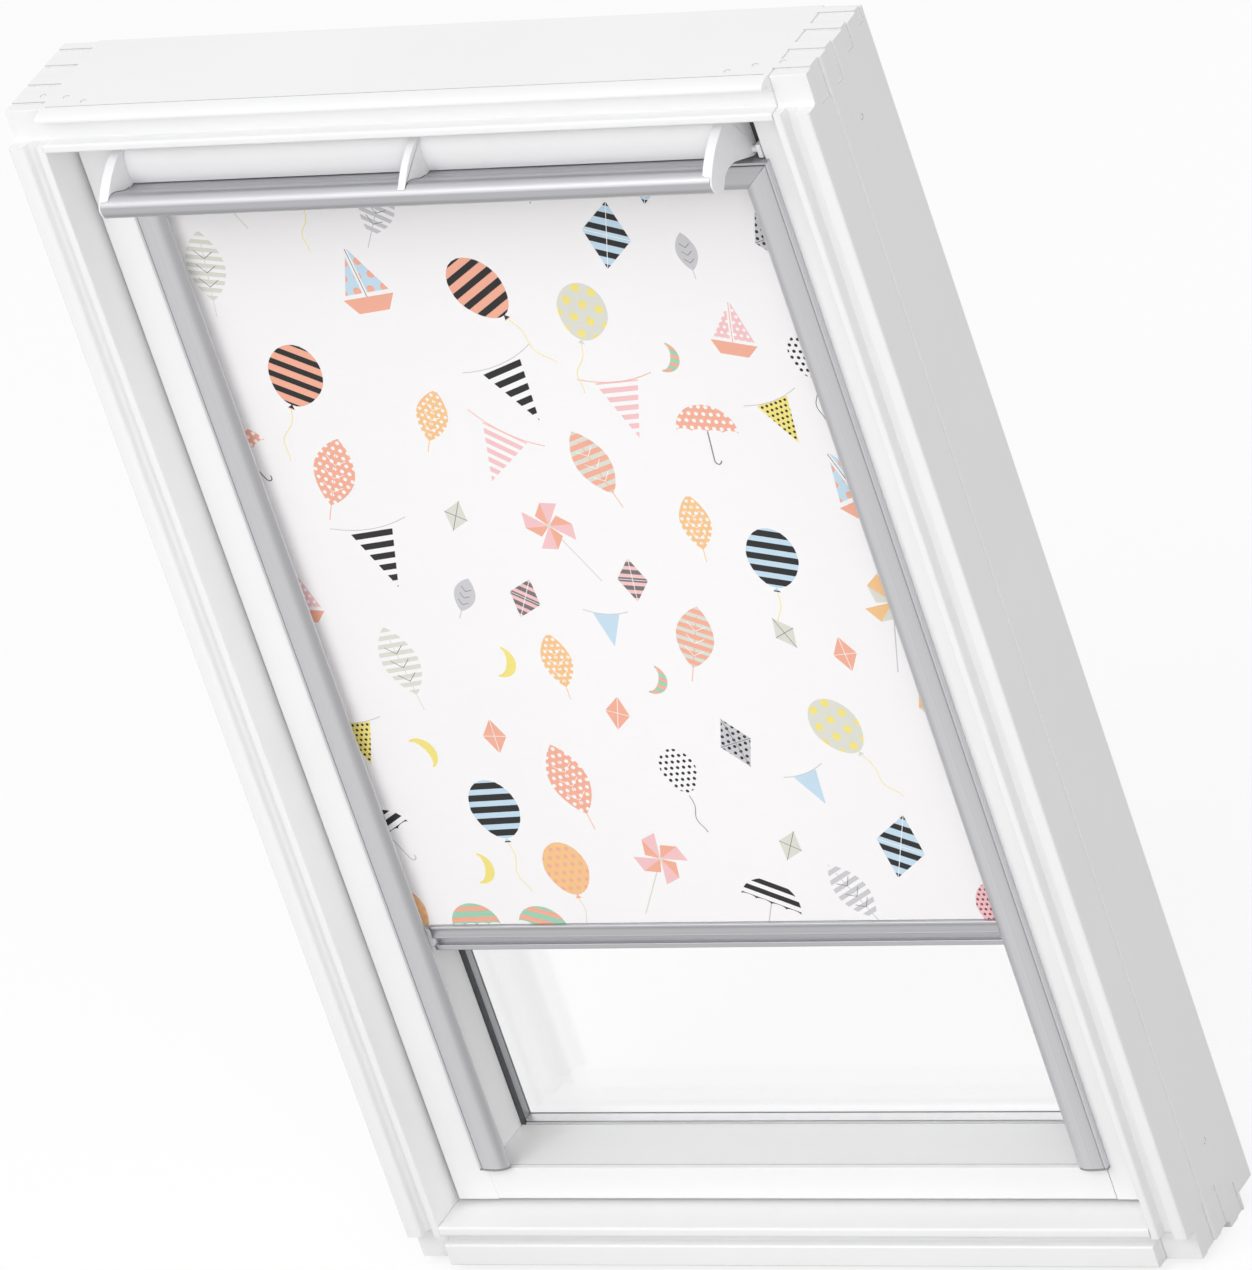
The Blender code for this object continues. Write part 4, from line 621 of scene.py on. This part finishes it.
def pinwheel(s, width):
    hub = 0.14
    blade, fold = [(0, 0), (0.40, 0.04), (0.26, 0.24)], [(0, 0), (0.26, 0.24), (0.02, 0.22)]
    blades = []
    for i in range(4):
        c, d = math.cos(math.radians(90 * i + 20)), math.sin(math.radians(90 * i + 20))
        for shape, role in ((blade, "body"), (fold, "mark")):
            blades.append(([((c * x - d * y) * s, (d * x + c * y + hub) * s) for x, y in shape], role))
    stick = (inkLine([(0, hub * s), (0, -0.3 * s), (0, -0.85 * s)], width * 1.5), "line")
    return [stick] + blades + [(ring(12, 0.035 * s, 0.035 * s, (0, hub * s)), "line")]


def sailBoat(s, width):
    hull = [(-0.36 * s, -0.20 * s), (0.40 * s, -0.20 * s), (0.24 * s, -0.42 * s), (-0.22 * s, -0.42 * s)]
    sail = [(0.03 * s, 0.5 * s), (0.36 * s, -0.14 * s), (0.03 * s, -0.14 * s)]
    jib = [(-0.04 * s, 0.40 * s), (-0.04 * s, -0.14 * s), (-0.30 * s, -0.14 * s)]
    return [(hull, "hull"), (sail, "body"), (jib, "body"),
            (inkLine([(0, 0.5 * s), (0, 0.1 * s), (0, -0.20 * s)], width), "line")]


def parasol(s, width):
    top = ring(20, 0.46 * s, 0.42 * s, (0, 0), 0, 180)
    scallops = []
    for i in range(4):
        scallops += ring(6, 0.115 * s, 0.035 * s, ((-0.345 + 0.23 * i) * s, 0), 180, -180)[:-1]
    stick = [(0, 0.42 * s), (0, 0), (0, -0.44 * s)]
    stick += ring(8, 0.05 * s, 0.06 * s, (0.05 * s, -0.44 * s), 180, 180)
    return [(inkLine(stick, width * 1.5), "line"), (top + scallops, "body")]


# shape, height in mm, body ink, mark ink, marks (0 plain, 1 stripes, 2 dots), mark pitch in mm, line ink
printMotifs = [
    (balloon, 66, "coral", "black", 1, 13, "yellow"), (leaf, 64, "stone", "white", 1, 8, "stone"),
    (balloon, 62, "black", "blue", 1, 12, "yellow"), (parasol, 58, "coral", "white", 2, 7, "slate"),
    (diamond, 46, "grey", "black", 2, 6, "slate"), (pennant, 58, "black", "white", 1, 11, "grey"),
    (pinwheel, 66, "apricot", "stone", 0, 6, "grey"), (sailBoat, 62, "blue", "coral", 2, 14, "slate"),
    (balloon, 52, "pink", "plum", 2, 5, "yellow"), (leaf, 66, "coral", "white", 2, 7, "coral"),
    (diamond, 62, "blue", "black", 1, 13, "slate"), (pennant, 42, "yellow", "black", 2, 5, "grey"),
    (leaf, 56, "grey", "white", 1, 8, "grey"), (parasol, 48, "mint", "coral", 1, 11, "slate"),
    (balloon, 60, "stone", "yellow", 2, 15, "yellow"), (pennant, 54, "pink", "white", 1, 9, "coral"),
    (pinwheel, 60, "pink", "coral", 0, 5, "stone"), (leaf, 50, "apricot", "white", 2, 6, "apricot"),
    (diamond, 40, "slate", "pink", 1, 8, "slate"), (balloon, 46, "white", "black", 2, 6, "slate"),
    (sailBoat, 52, "pink", "white", 2, 6, "coral"), (parasol, 56, "black", "white", 1, 10, "grey"),
    (balloon, 56, "apricot", "coral", 2, 8, "stone"), (leaf, 60, "coral", "stone", 1, 9, "coral"),
]
smallMotifs = [
    (halfMoon, 32, "yellow", "yellow", 0, 5, "grey"), (diamond, 30, "stone", "stone", 0, 5, "stone"),
    (pennant, 32, "blue", "blue", 0, 5, "grey"), (leaf, 34, "grey", "grey", 0, 5, "grey"),
    (diamond, 32, "coral", "coral", 0, 5, "coral"), (halfMoon, 30, "mint", "coral", 1, 8, "grey"),
]


scatter = {
    "seed": 23, "tries": 1500, "turn": 32,
    "closer": 0.86,      # motifs may stand this much closer up and down the cloth than across it
    # how many, which, space between two as a share of both heights, and reach past the cloth's edge
    "passes": ((52, printMotifs, 0.545, 0.014), (15, smallMotifs, 0.62, -0.004)),
}


# Motifs are scattered as on a hand-drawn repeat: the large ones first, then small ones in the gaps
def printLayout(low, high):
    rng = random.Random(scatter["seed"])
    placed = []
    for wanted, motifs, space, edge in scatter["passes"]:
        order = []
        while len(order) < wanted:
            order += rng.sample(motifs, len(motifs))
        for motif in order[:wanted]:
            size = motif[1] / 1000 * cloth["motifScale"]
            for attempt in range(scatter["tries"]):
                x, z = rng.uniform(low.x - edge, high.x + edge), rng.uniform(low.z - edge, high.z + edge)
                if all((x - other[0]) ** 2 + ((z - other[1]) * scatter["closer"]) ** 2
                       > (space * (size + other[3])) ** 2 for other in placed):
                    placed.append((x, z, rng.uniform(-scatter["turn"], scatter["turn"]), size, motif))
                    break
    return placed


# The two inks, the kind of marks and the mark pitch in metres for one outline of a motif
def outlineInks(role, motif):
    body, mark, marks, pitch, line = motif[2:]
    crease = "slate" if body in ("stone", "grey", "white") else "white"
    plain = {"line": line, "crease": crease, "hull": "coral", "mark": mark}
    return plain.get(role, body), mark, 0 if role in plain else marks, pitch / 1000


clothLow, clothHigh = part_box("blind_fabric")
outlines = []      # (points, motif number, role)
motifFacts = []    # (place, turn back to upright, the motif's row)
places = printLayout(clothLow, clothHigh)
for x, z, turn, size, motif in places:
    rotation = Matrix.Rotation(math.radians(turn), 2)
    for points, role in motif[0](size, cloth["stringWidth"]):
        outlines.append(([Vector((x, z)) + rotation @ Vector(p) for p in points], len(motifFacts), role))
    motifFacts.append((Vector((x, z)), rotation.inverted(), motif))

# One flat mesh that has every outline of the print as edges, so that the ink ends crisply
flatPoints = [Vector(p) for p in ((clothLow.x, clothLow.z), (clothHigh.x, clothLow.z),
                                  (clothHigh.x, clothHigh.z), (clothLow.x, clothHigh.z))]
flatFaces = [[0, 1, 2, 3]]
for points, number, role in outlines:
    area = sum(a.x * b.y - b.x * a.y for a, b in zip(points, points[1:] + points[:1]))
    if area < 0:
        points = points[::-1]
    flatFaces.append(list(range(len(flatPoints), len(flatPoints) + len(points))))
    flatPoints += points
columns = int((clothHigh.x - clothLow.x) / cloth["gridStep"])
rows = int((clothHigh.z - clothLow.z) / cloth["gridStep"])
for i in range(1, columns):
    for j in range(1, rows):
        flatPoints.append(Vector((clothLow.x + (clothHigh.x - clothLow.x) * i / columns,
                                  clothLow.z + (clothHigh.z - clothLow.z) * j / rows)))
made = delaunay_2d_cdt(flatPoints, [], flatFaces, 1, cloth["tolerance"], True)
madePoints, madeFaces, madeFrom = made[0], made[2], made[5]

faces, owners = [], []
for face, sources in zip(madeFaces, madeFrom):
    if 0 not in sources:      # what hangs over the cloth's edge is trimmed off
        continue
    faces.append(face)
    owners.append(max(sources))
clothMesh = bpy.data.meshes.new("printedCloth")
clothMesh.from_pydata([(p.x, clothLow.y, p.y) for p in madePoints], [], faces)
for name in ("cloth", "motif"):
    clothMesh.uv_layers.new(name=name)
for name in ("bodyInk", "markInk"):
    clothMesh.attributes.new(name, "FLOAT_COLOR", "CORNER")
for name in ("marks", "pitch"):
    clothMesh.attributes.new(name, "FLOAT", "CORNER")
clothMap, motifMap = clothMesh.uv_layers["cloth"], clothMesh.uv_layers["motif"]
inkA, inkB = clothMesh.attributes["bodyInk"], clothMesh.attributes["markInk"]
marked, pitchOf = clothMesh.attributes["marks"], clothMesh.attributes["pitch"]

for polygon, owner in zip(clothMesh.polygons, owners):
    bodyInk, markInk, marks, pitch = "white", "white", 0, 0.01
    centre, turn = Vector((0, 0)), Matrix.Identity(2)
    if owner > 0:
        number, role = outlines[owner - 1][1:]
        centre, turn, motif = motifFacts[number]
        bodyInk, markInk, marks, pitch = outlineInks(role, motif)
    for corner in polygon.loop_indices:
        point = clothMesh.vertices[clothMesh.loops[corner].vertex_index].co
        local = turn @ (Vector((point.x, point.z)) - centre)
        clothMap.data[corner].uv = (point.x, point.z)
        motifMap.data[corner].uv = local
        inkA.data[corner].color = linearColour(cloth["inks"][bodyInk])
        inkB.data[corner].color = linearColour(cloth["inks"][markInk])
        marked.data[corner].value = marks
        pitchOf.data[corner].value = pitch
blind = bpy.data.objects.new("printed_blind", clothMesh)
bpy.context.scene.collection.objects.link(blind)
makeActive(blind)
bpy.ops.object.mode_set(mode="EDIT")
bpy.ops.mesh.select_all(action="SELECT")
bpy.ops.mesh.delete_loose(use_faces=False)
bpy.ops.mesh.select_all(action="SELECT")
bpy.ops.mesh.remove_doubles(threshold=cloth["merge"])
bpy.ops.object.mode_set(mode="OBJECT")


# Plain-woven polyester, calendered and printed: matt off-white with flat inks, and the weave only
# just felt as a fine cross relief
def printedPolyester():
    material, tree, shader = newFinish("printedPolyester", {
        "Roughness": cloth["roughness"], "Sheen Weight": cloth["sheen"],
        "Sheen Roughness": cloth["sheenRoughness"]})
    flat = addNode(tree, "ShaderNodeUVMap", {"uv_map": "cloth"})
    local = addNode(tree, "ShaderNodeUVMap", {"uv_map": "motif"})
    body = addNode(tree, "ShaderNodeAttribute", {"attribute_name": "bodyInk"})
    mark = addNode(tree, "ShaderNodeAttribute", {"attribute_name": "markInk"})
    marks = addNode(tree, "ShaderNodeAttribute", {"attribute_name": "marks"})
    pitch = addNode(tree, "ShaderNodeAttribute", {"attribute_name": "pitch"})
    scaled = addNode(tree, "ShaderNodeVectorMath", {"operation": "DIVIDE"},
                     {0: local.outputs[0], 1: pitch.outputs["Vector"]})
    apart = addNode(tree, "ShaderNodeSeparateXYZ", None, {0: scaled.outputs[0]})
    # stripes across the motif: a little under half of each pitch is inked
    wave = addNode(tree, "ShaderNodeMath", {"operation": "PINGPONG", 1: 0.5}, {0: apart.outputs["Y"]})
    stripe = addNode(tree, "ShaderNodeMath", {"operation": "GREATER_THAN", 1: cloth["stripeFrom"]},
                     {0: wave.outputs[0]})
    # dots in staggered rows: each row is moved by half a pitch from the one below
    row = addNode(tree, "ShaderNodeMath", {"operation": "FLOOR"}, {0: apart.outputs["Y"]})
    shift = addNode(tree, "ShaderNodeMath", {"operation": "MULTIPLY", 1: 0.5}, {0: row.outputs[0]})
    along = addNode(tree, "ShaderNodeMath", {"operation": "ADD"},
                    {0: apart.outputs["X"], 1: shift.outputs[0]})
    cellX = addNode(tree, "ShaderNodeMath", {"operation": "PINGPONG", 1: 0.5}, {0: along.outputs[0]})
    middleY = addNode(tree, "ShaderNodeMath", {"operation": "SUBTRACT", 0: 0.5}, {1: wave.outputs[0]})
    both = addNode(tree, "ShaderNodeCombineXYZ", None, {"X": cellX.outputs[0], "Y": middleY.outputs[0]})
    reach = addNode(tree, "ShaderNodeVectorMath", {"operation": "LENGTH"}, {0: both.outputs[0]})
    dot = addNode(tree, "ShaderNodeMath", {"operation": "LESS_THAN", 1: cloth["dotRadius"]},
                  {0: reach.outputs["Value"]})
    isStripe = addNode(tree, "ShaderNodeMath", {"operation": "COMPARE", 1: 1.0, 2: 0.1},
                       {0: marks.outputs["Fac"]})
    isDot = addNode(tree, "ShaderNodeMath", {"operation": "COMPARE", 1: 2.0, 2: 0.1},
                    {0: marks.outputs["Fac"]})
    striped = addNode(tree, "ShaderNodeMath", {"operation": "MULTIPLY"},
                      {0: stripe.outputs[0], 1: isStripe.outputs[0]})
    dotted = addNode(tree, "ShaderNodeMath", {"operation": "MULTIPLY_ADD"},
                     {0: dot.outputs[0], 1: isDot.outputs[0], 2: striped.outputs[0]})
    ink = addNode(tree, "ShaderNodeMix", {"data_type": "RGBA"},
                  {0: dotted.outputs[0], 6: body.outputs["Color"], 7: mark.outputs["Color"]})
    # threads: two crossing waves, with slubs that run with the weft
    density = addNode(tree, "ShaderNodeMapping", {"Scale": [1 / cloth["threadPitch"]] * 3},
                      {"Vector": flat.outputs[0]})
    warp, weft = [addNode(tree, "ShaderNodeTexWave",
                          {"bands_direction": axis, "Scale": 0.5, "Distortion": 0.6, "Detail": 1.0},
                          {"Vector": density.outputs[0]}) for axis in ("X", "Y")]
    threads = addNode(tree, "ShaderNodeMath", {"operation": "ADD"},
                      {0: warp.outputs["Fac"], 1: weft.outputs["Fac"]})
    slubSize = addNode(tree, "ShaderNodeMapping",
                       {"Scale": (1 / cloth["slubLength"], 1 / cloth["slubWidth"], 1)},
                       {"Vector": flat.outputs[0]})
    slubs = addNode(tree, "ShaderNodeTexNoise", {"Scale": 1.0, "Detail": 2.0},
                    {"Vector": slubSize.outputs[0]})
    cast = addNode(tree, "ShaderNodeMapRange", {"To Min": cloth["slubTone"], "To Max": 1.0},
                   {"Value": slubs.outputs["Fac"]})
    tinted = addNode(tree, "ShaderNodeMix", {"data_type": "RGBA", "blend_type": "MULTIPLY", 0: 1.0},
                     {6: ink.outputs[2], 7: cast.outputs[0]})
    relief = addNode(tree, "ShaderNodeBump", {"Distance": cloth["threadDepth"]},
                     {"Height": threads.outputs[0]})
    tree.links.new(tinted.outputs[2], shader.inputs["Base Color"])
    tree.links.new(relief.outputs[0], shader.inputs["Normal"])
    return material


finish["printedPolyester"] = printedPolyester()
setFinish(blind, finish["printedPolyester"], finish["blackoutCoating"])
applyModifier(blind, "SOLIDIFY", thickness=cloth["thickness"], offset=-1.0, material_offset=1,
              material_offset_rim=0, use_even_offset=False)
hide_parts("blind_fabric")
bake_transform(blind, "sash", "blind_bar", start=(0, clothLow.y, clothHigh.z), end=(0, clothLow.y, clothLow.z))
share = blind.data.attributes["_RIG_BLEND"]      # the stretch is even from the roll down to the bar
for vertex in blind.data.vertices:
    along = (clothHigh.z - vertex.co.z) / (clothHigh.z - clothLow.z)
    share.data[vertex.index].value = min(max(along, 0.0), 1.0)
print("Printed blind made:", len(blind.data.polygons), "faces,", len(places), "motifs")


# The rest of the cloth, wound on its tube

windings = {"sheet": 0.0005, "pitch": 0.00062, "innerRadius": 0.00735, "turns": 2.15, "perTurn": 48}
rollLow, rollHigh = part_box("fabric_roll")
axisY, axisZ = (rollLow.y + rollHigh.y) / 2, (rollLow.z + rollHigh.z) / 2
steps = int(windings["turns"] * windings["perTurn"])
rollPoints, rollFaces, flatLength = [], [], 0.0
for i in range(steps + 1):
    angle = 2 * math.pi * i / windings["perTurn"]
    radius = windings["innerRadius"] + windings["sheet"] / 2 + windings["pitch"] * i / windings["perTurn"]
    y, z = axisY - radius * math.cos(angle), axisZ + radius * math.sin(angle)
    for x in (rollLow.x, (rollLow.x + rollHigh.x) / 2, rollHigh.x):
        rollPoints.append((x, y, z))
    if i:
        flatLength += radius * 2 * math.pi / windings["perTurn"]
        for column in range(2):
            a = 3 * (i - 1) + column
            rollFaces.append((a, a + 1, a + 4, a + 3))
rollMesh = bpy.data.meshes.new("woundCloth")
rollMesh.from_pydata(rollPoints, [], rollFaces)
rollMap = rollMesh.uv_layers.new(name="cloth")
for loop in rollMesh.loops:
    point = rollMesh.vertices[loop.vertex_index].co
    rollMap.data[loop.index].uv = (point.x, loop.vertex_index // 3 * flatLength / steps)
roll = bpy.data.objects.new("wound_cloth", rollMesh)
bpy.context.scene.collection.objects.link(roll)
applyModifier(roll, "SOLIDIFY", thickness=windings["sheet"], offset=0.0)
smoothByAngle(roll, copying["smoothAngle"])
setFinish(roll, finish["blackoutCoating"])
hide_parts("fabric_roll")
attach(roll, "roller")
print("Wound cloth made:", round(flatLength, 4), "m of it")


# Finishes on the CAD pieces that show as they are

plainNodes = {
    "mouldedAbs": ("roller_bracket_left", "roller_bracket_right", "roller_plug_left", "roller_plug_right"),
    "zincPlatedSteel": ("frame_hinge_left", "frame_hinge_right", "sash_hinge_left", "sash_hinge_right",
                        "latch_case", "latch_tongue", "striker_plate", "spring_spindle", "tension_spring"),
    "metalLevel": ("roller_tube",),
    "epdmRubber": ("flap_seal", "jamb_seal_left", "jamb_seal_right"),
    "glazingTape": ("glass_gasket_left", "glass_gasket_right"),
    "bleachedTape": ("glass_gasket_bottom", "glass_gasket_top"),
    "spacerSteel": ("glass_spacer_bottom", "glass_spacer_top"),
    "spacerSteelDull": ("glass_spacer_left", "glass_spacer_right"),
    "filterFoam": ("air_filter_left", "air_filter_right"),
    "floatGlass": ("inner_pane", "outer_pane"),
}
for finishName, nodes in plainNodes.items():
    for node in nodes:
        setFinish(frame["nodes"][node], finish[finishName])
print("CAD pieces finished")


# Floor, light and camera

studio = {
    "floorSize": 60.0, "floorColour": "FCFCFC", "floorDim": "BEBEBE", "floorGlow": 0.80,
    "floorRoughness": 0.9, "floorShine": 0.1,
    "sky": 0.785,
    # what metal mirrors: a sky that brightens between two heights, 1 being straight up, and a low band
    "sheenHeights": (-0.2, 0.9), "sheenBase": 0.54, "sheenUp": 0.55,
    "bandFrom": (-0.514, -0.725, -0.458), "bandEdge": 0.80, "sheenBand": 0.44,
    "keyPlace": (-1.6, -4.4, 5.4), "keySize": 4.0, "keyPower": 106.0,
    "fillPlace": (2.6, -3.6, 2.6), "fillSize": 1.6, "fillPower": 36.0,
    "stripPlace": (0.340, -0.74, 0.56), "stripAim": (-1.0, -0.34, 0.50), "stripSize": (0.30, 1.30),
    "stripPower": 2.2,
    "target": (0.0, 0.0, 0.6),
}


# White card: it shows as a plain white ground that still takes the window's shadow, and it sends
# only a dim light up, as a studio floor does
def whiteCard():
    material, tree, shader = newFinish("whiteCard", {"Roughness": studio["floorRoughness"],
                                                     "Specular IOR Level": studio["floorShine"]})
    rays = addNode(tree, "ShaderNodeLightPath")
    seen = addNode(tree, "ShaderNodeMath", {"operation": "MAXIMUM"},
                   {0: rays.outputs["Is Camera Ray"], 1: rays.outputs["Is Glossy Ray"]})
    seen = addNode(tree, "ShaderNodeMath", {"operation": "MAXIMUM"},
                   {0: seen.outputs[0], 1: rays.outputs["Is Transmission Ray"]})
    tone = addNode(tree, "ShaderNodeMix", {"data_type": "RGBA", 6: linearColour(studio["floorDim"]),
                                           7: linearColour(studio["floorColour"])}, {0: seen.outputs[0]})
    tree.links.new(tone.outputs[2], shader.inputs["Base Color"])
    amount = addNode(tree, "ShaderNodeMath", {"operation": "MULTIPLY", 1: studio["floorGlow"]},
                     {0: seen.outputs[0]})
    glow = addNode(tree, "ShaderNodeEmission", {"Strength": 1.0})
    mixed = addNode(tree, "ShaderNodeMixShader", None, {0: amount.outputs[0], 1: shader.outputs[0],
                                                        2: glow.outputs[0]})
    tree.links.new(mixed.outputs[0], tree.nodes["Material Output"].inputs["Surface"])
    return material


bpy.ops.mesh.primitive_plane_add(size=studio["floorSize"], location=(0, 0, cadBounds[0].z))
floor = bpy.context.active_object
floor.name = "studio_floor"
applyPlace(floor)
setFinish(floor, whiteCard())
floor.visible_glossy = False      # metal mirrors the sky's soft bands, not the card


def softLamp(name, place, size, power, target=studio["target"]):
    lamp = bpy.data.objects.new(name, bpy.data.lights.new(name, "AREA"))
    lamp.data.size = size
    lamp.data.energy = power
    lamp.location = place
    lamp.rotation_euler = (Vector(target) - Vector(place)).to_track_quat("-Z", "Y").to_euler()
    bpy.context.scene.collection.objects.link(lamp)
    return lamp


softLamp("keyLamp", studio["keyPlace"], studio["keySize"], studio["keyPower"])
softLamp("fillLamp", studio["fillPlace"], studio["fillSize"], studio["fillPower"])
# A strip light close by, which opens the shadows inside the frame's left half
strip = softLamp("stripLamp", studio["stripPlace"], studio["stripSize"][0], studio["stripPower"],
                 studio["stripAim"])
strip.data.shape = "RECTANGLE"
strip.data.size_y = studio["stripSize"][1]
strip.visible_camera = False
strip.visible_glossy = False
strip.visible_transmission = False

world = bpy.data.worlds.new("studioSky")
world.use_nodes = True
bpy.context.scene.world = world
tree = world.node_tree
sky = tree.nodes["Background"]
sky.inputs["Color"].default_value = (1, 1, 1, 1)
rays = addNode(tree, "ShaderNodeLightPath")
heading = addNode(tree, "ShaderNodeTexCoord")
# what metal mirrors: brighter overhead, and a soft light band low in front on the left, as from a window
upward = addNode(tree, "ShaderNodeSeparateXYZ", None, {0: heading.outputs["Generated"]})
overhead = addNode(tree, "ShaderNodeMapRange",
                   {"From Min": studio["sheenHeights"][0], "From Max": studio["sheenHeights"][1],
                    "To Min": studio["sheenBase"], "To Max": studio["sheenBase"] + studio["sheenUp"]},
                   {"Value": upward.outputs["Z"]})
towards = addNode(tree, "ShaderNodeVectorMath", {"operation": "DOT_PRODUCT", 1: studio["bandFrom"]},
                  {0: heading.outputs["Generated"]})
band = addNode(tree, "ShaderNodeMapRange",
               {"interpolation_type": "SMOOTHSTEP", "From Min": studio["bandEdge"],
                "To Max": studio["sheenBand"]}, {"Value": towards.outputs["Value"]})
sheen = addNode(tree, "ShaderNodeMath", {"operation": "ADD"},
                {0: overhead.outputs[0], 1: band.outputs[0]})
mirrored = addNode(tree, "ShaderNodeMix", {"data_type": "FLOAT", 2: studio["sky"]},
                   {0: rays.outputs["Is Glossy Ray"], 3: sheen.outputs[0]})
seen = addNode(tree, "ShaderNodeMath", {"operation": "MAXIMUM"},
               {0: rays.outputs["Is Camera Ray"], 1: rays.outputs["Is Transmission Ray"]})
level = addNode(tree, "ShaderNodeMix", {"data_type": "FLOAT", 3: 1.0},
                {0: seen.outputs[0], 2: mirrored.outputs[0]})
tree.links.new(level.outputs[0], sky.inputs["Strength"])

# A long lens held askew, as the window was drawn: right and back are its own axes, and up follows from them
view = {
    "right": (0.8578, 0.4220, -0.2936), "back": (0.5137, -0.7253, 0.4583),
    "place": (6.186, -8.715755, 6.135), "lens": 402.25, "sensor": 36.0, "clipEnd": 100.0,
}
camera = bpy.data.objects.new("camera", bpy.data.cameras.new("camera"))
camera.data.lens = view["lens"]
camera.data.sensor_width = view["sensor"]
camera.data.clip_end = view["clipEnd"]
bpy.context.scene.collection.objects.link(camera)
right = Vector(view["right"]).normalized()
back = (Vector(view["back"]) - Vector(view["back"]).dot(right) * right).normalized()
up = back.cross(right)
camera.matrix_world = Matrix((right, up, back)).transposed().to_4x4()
camera.matrix_world.translation = Vector(view["place"])
bpy.context.scene.camera = camera
bpy.context.scene.view_settings.view_transform = "Standard"
print("Studio set")
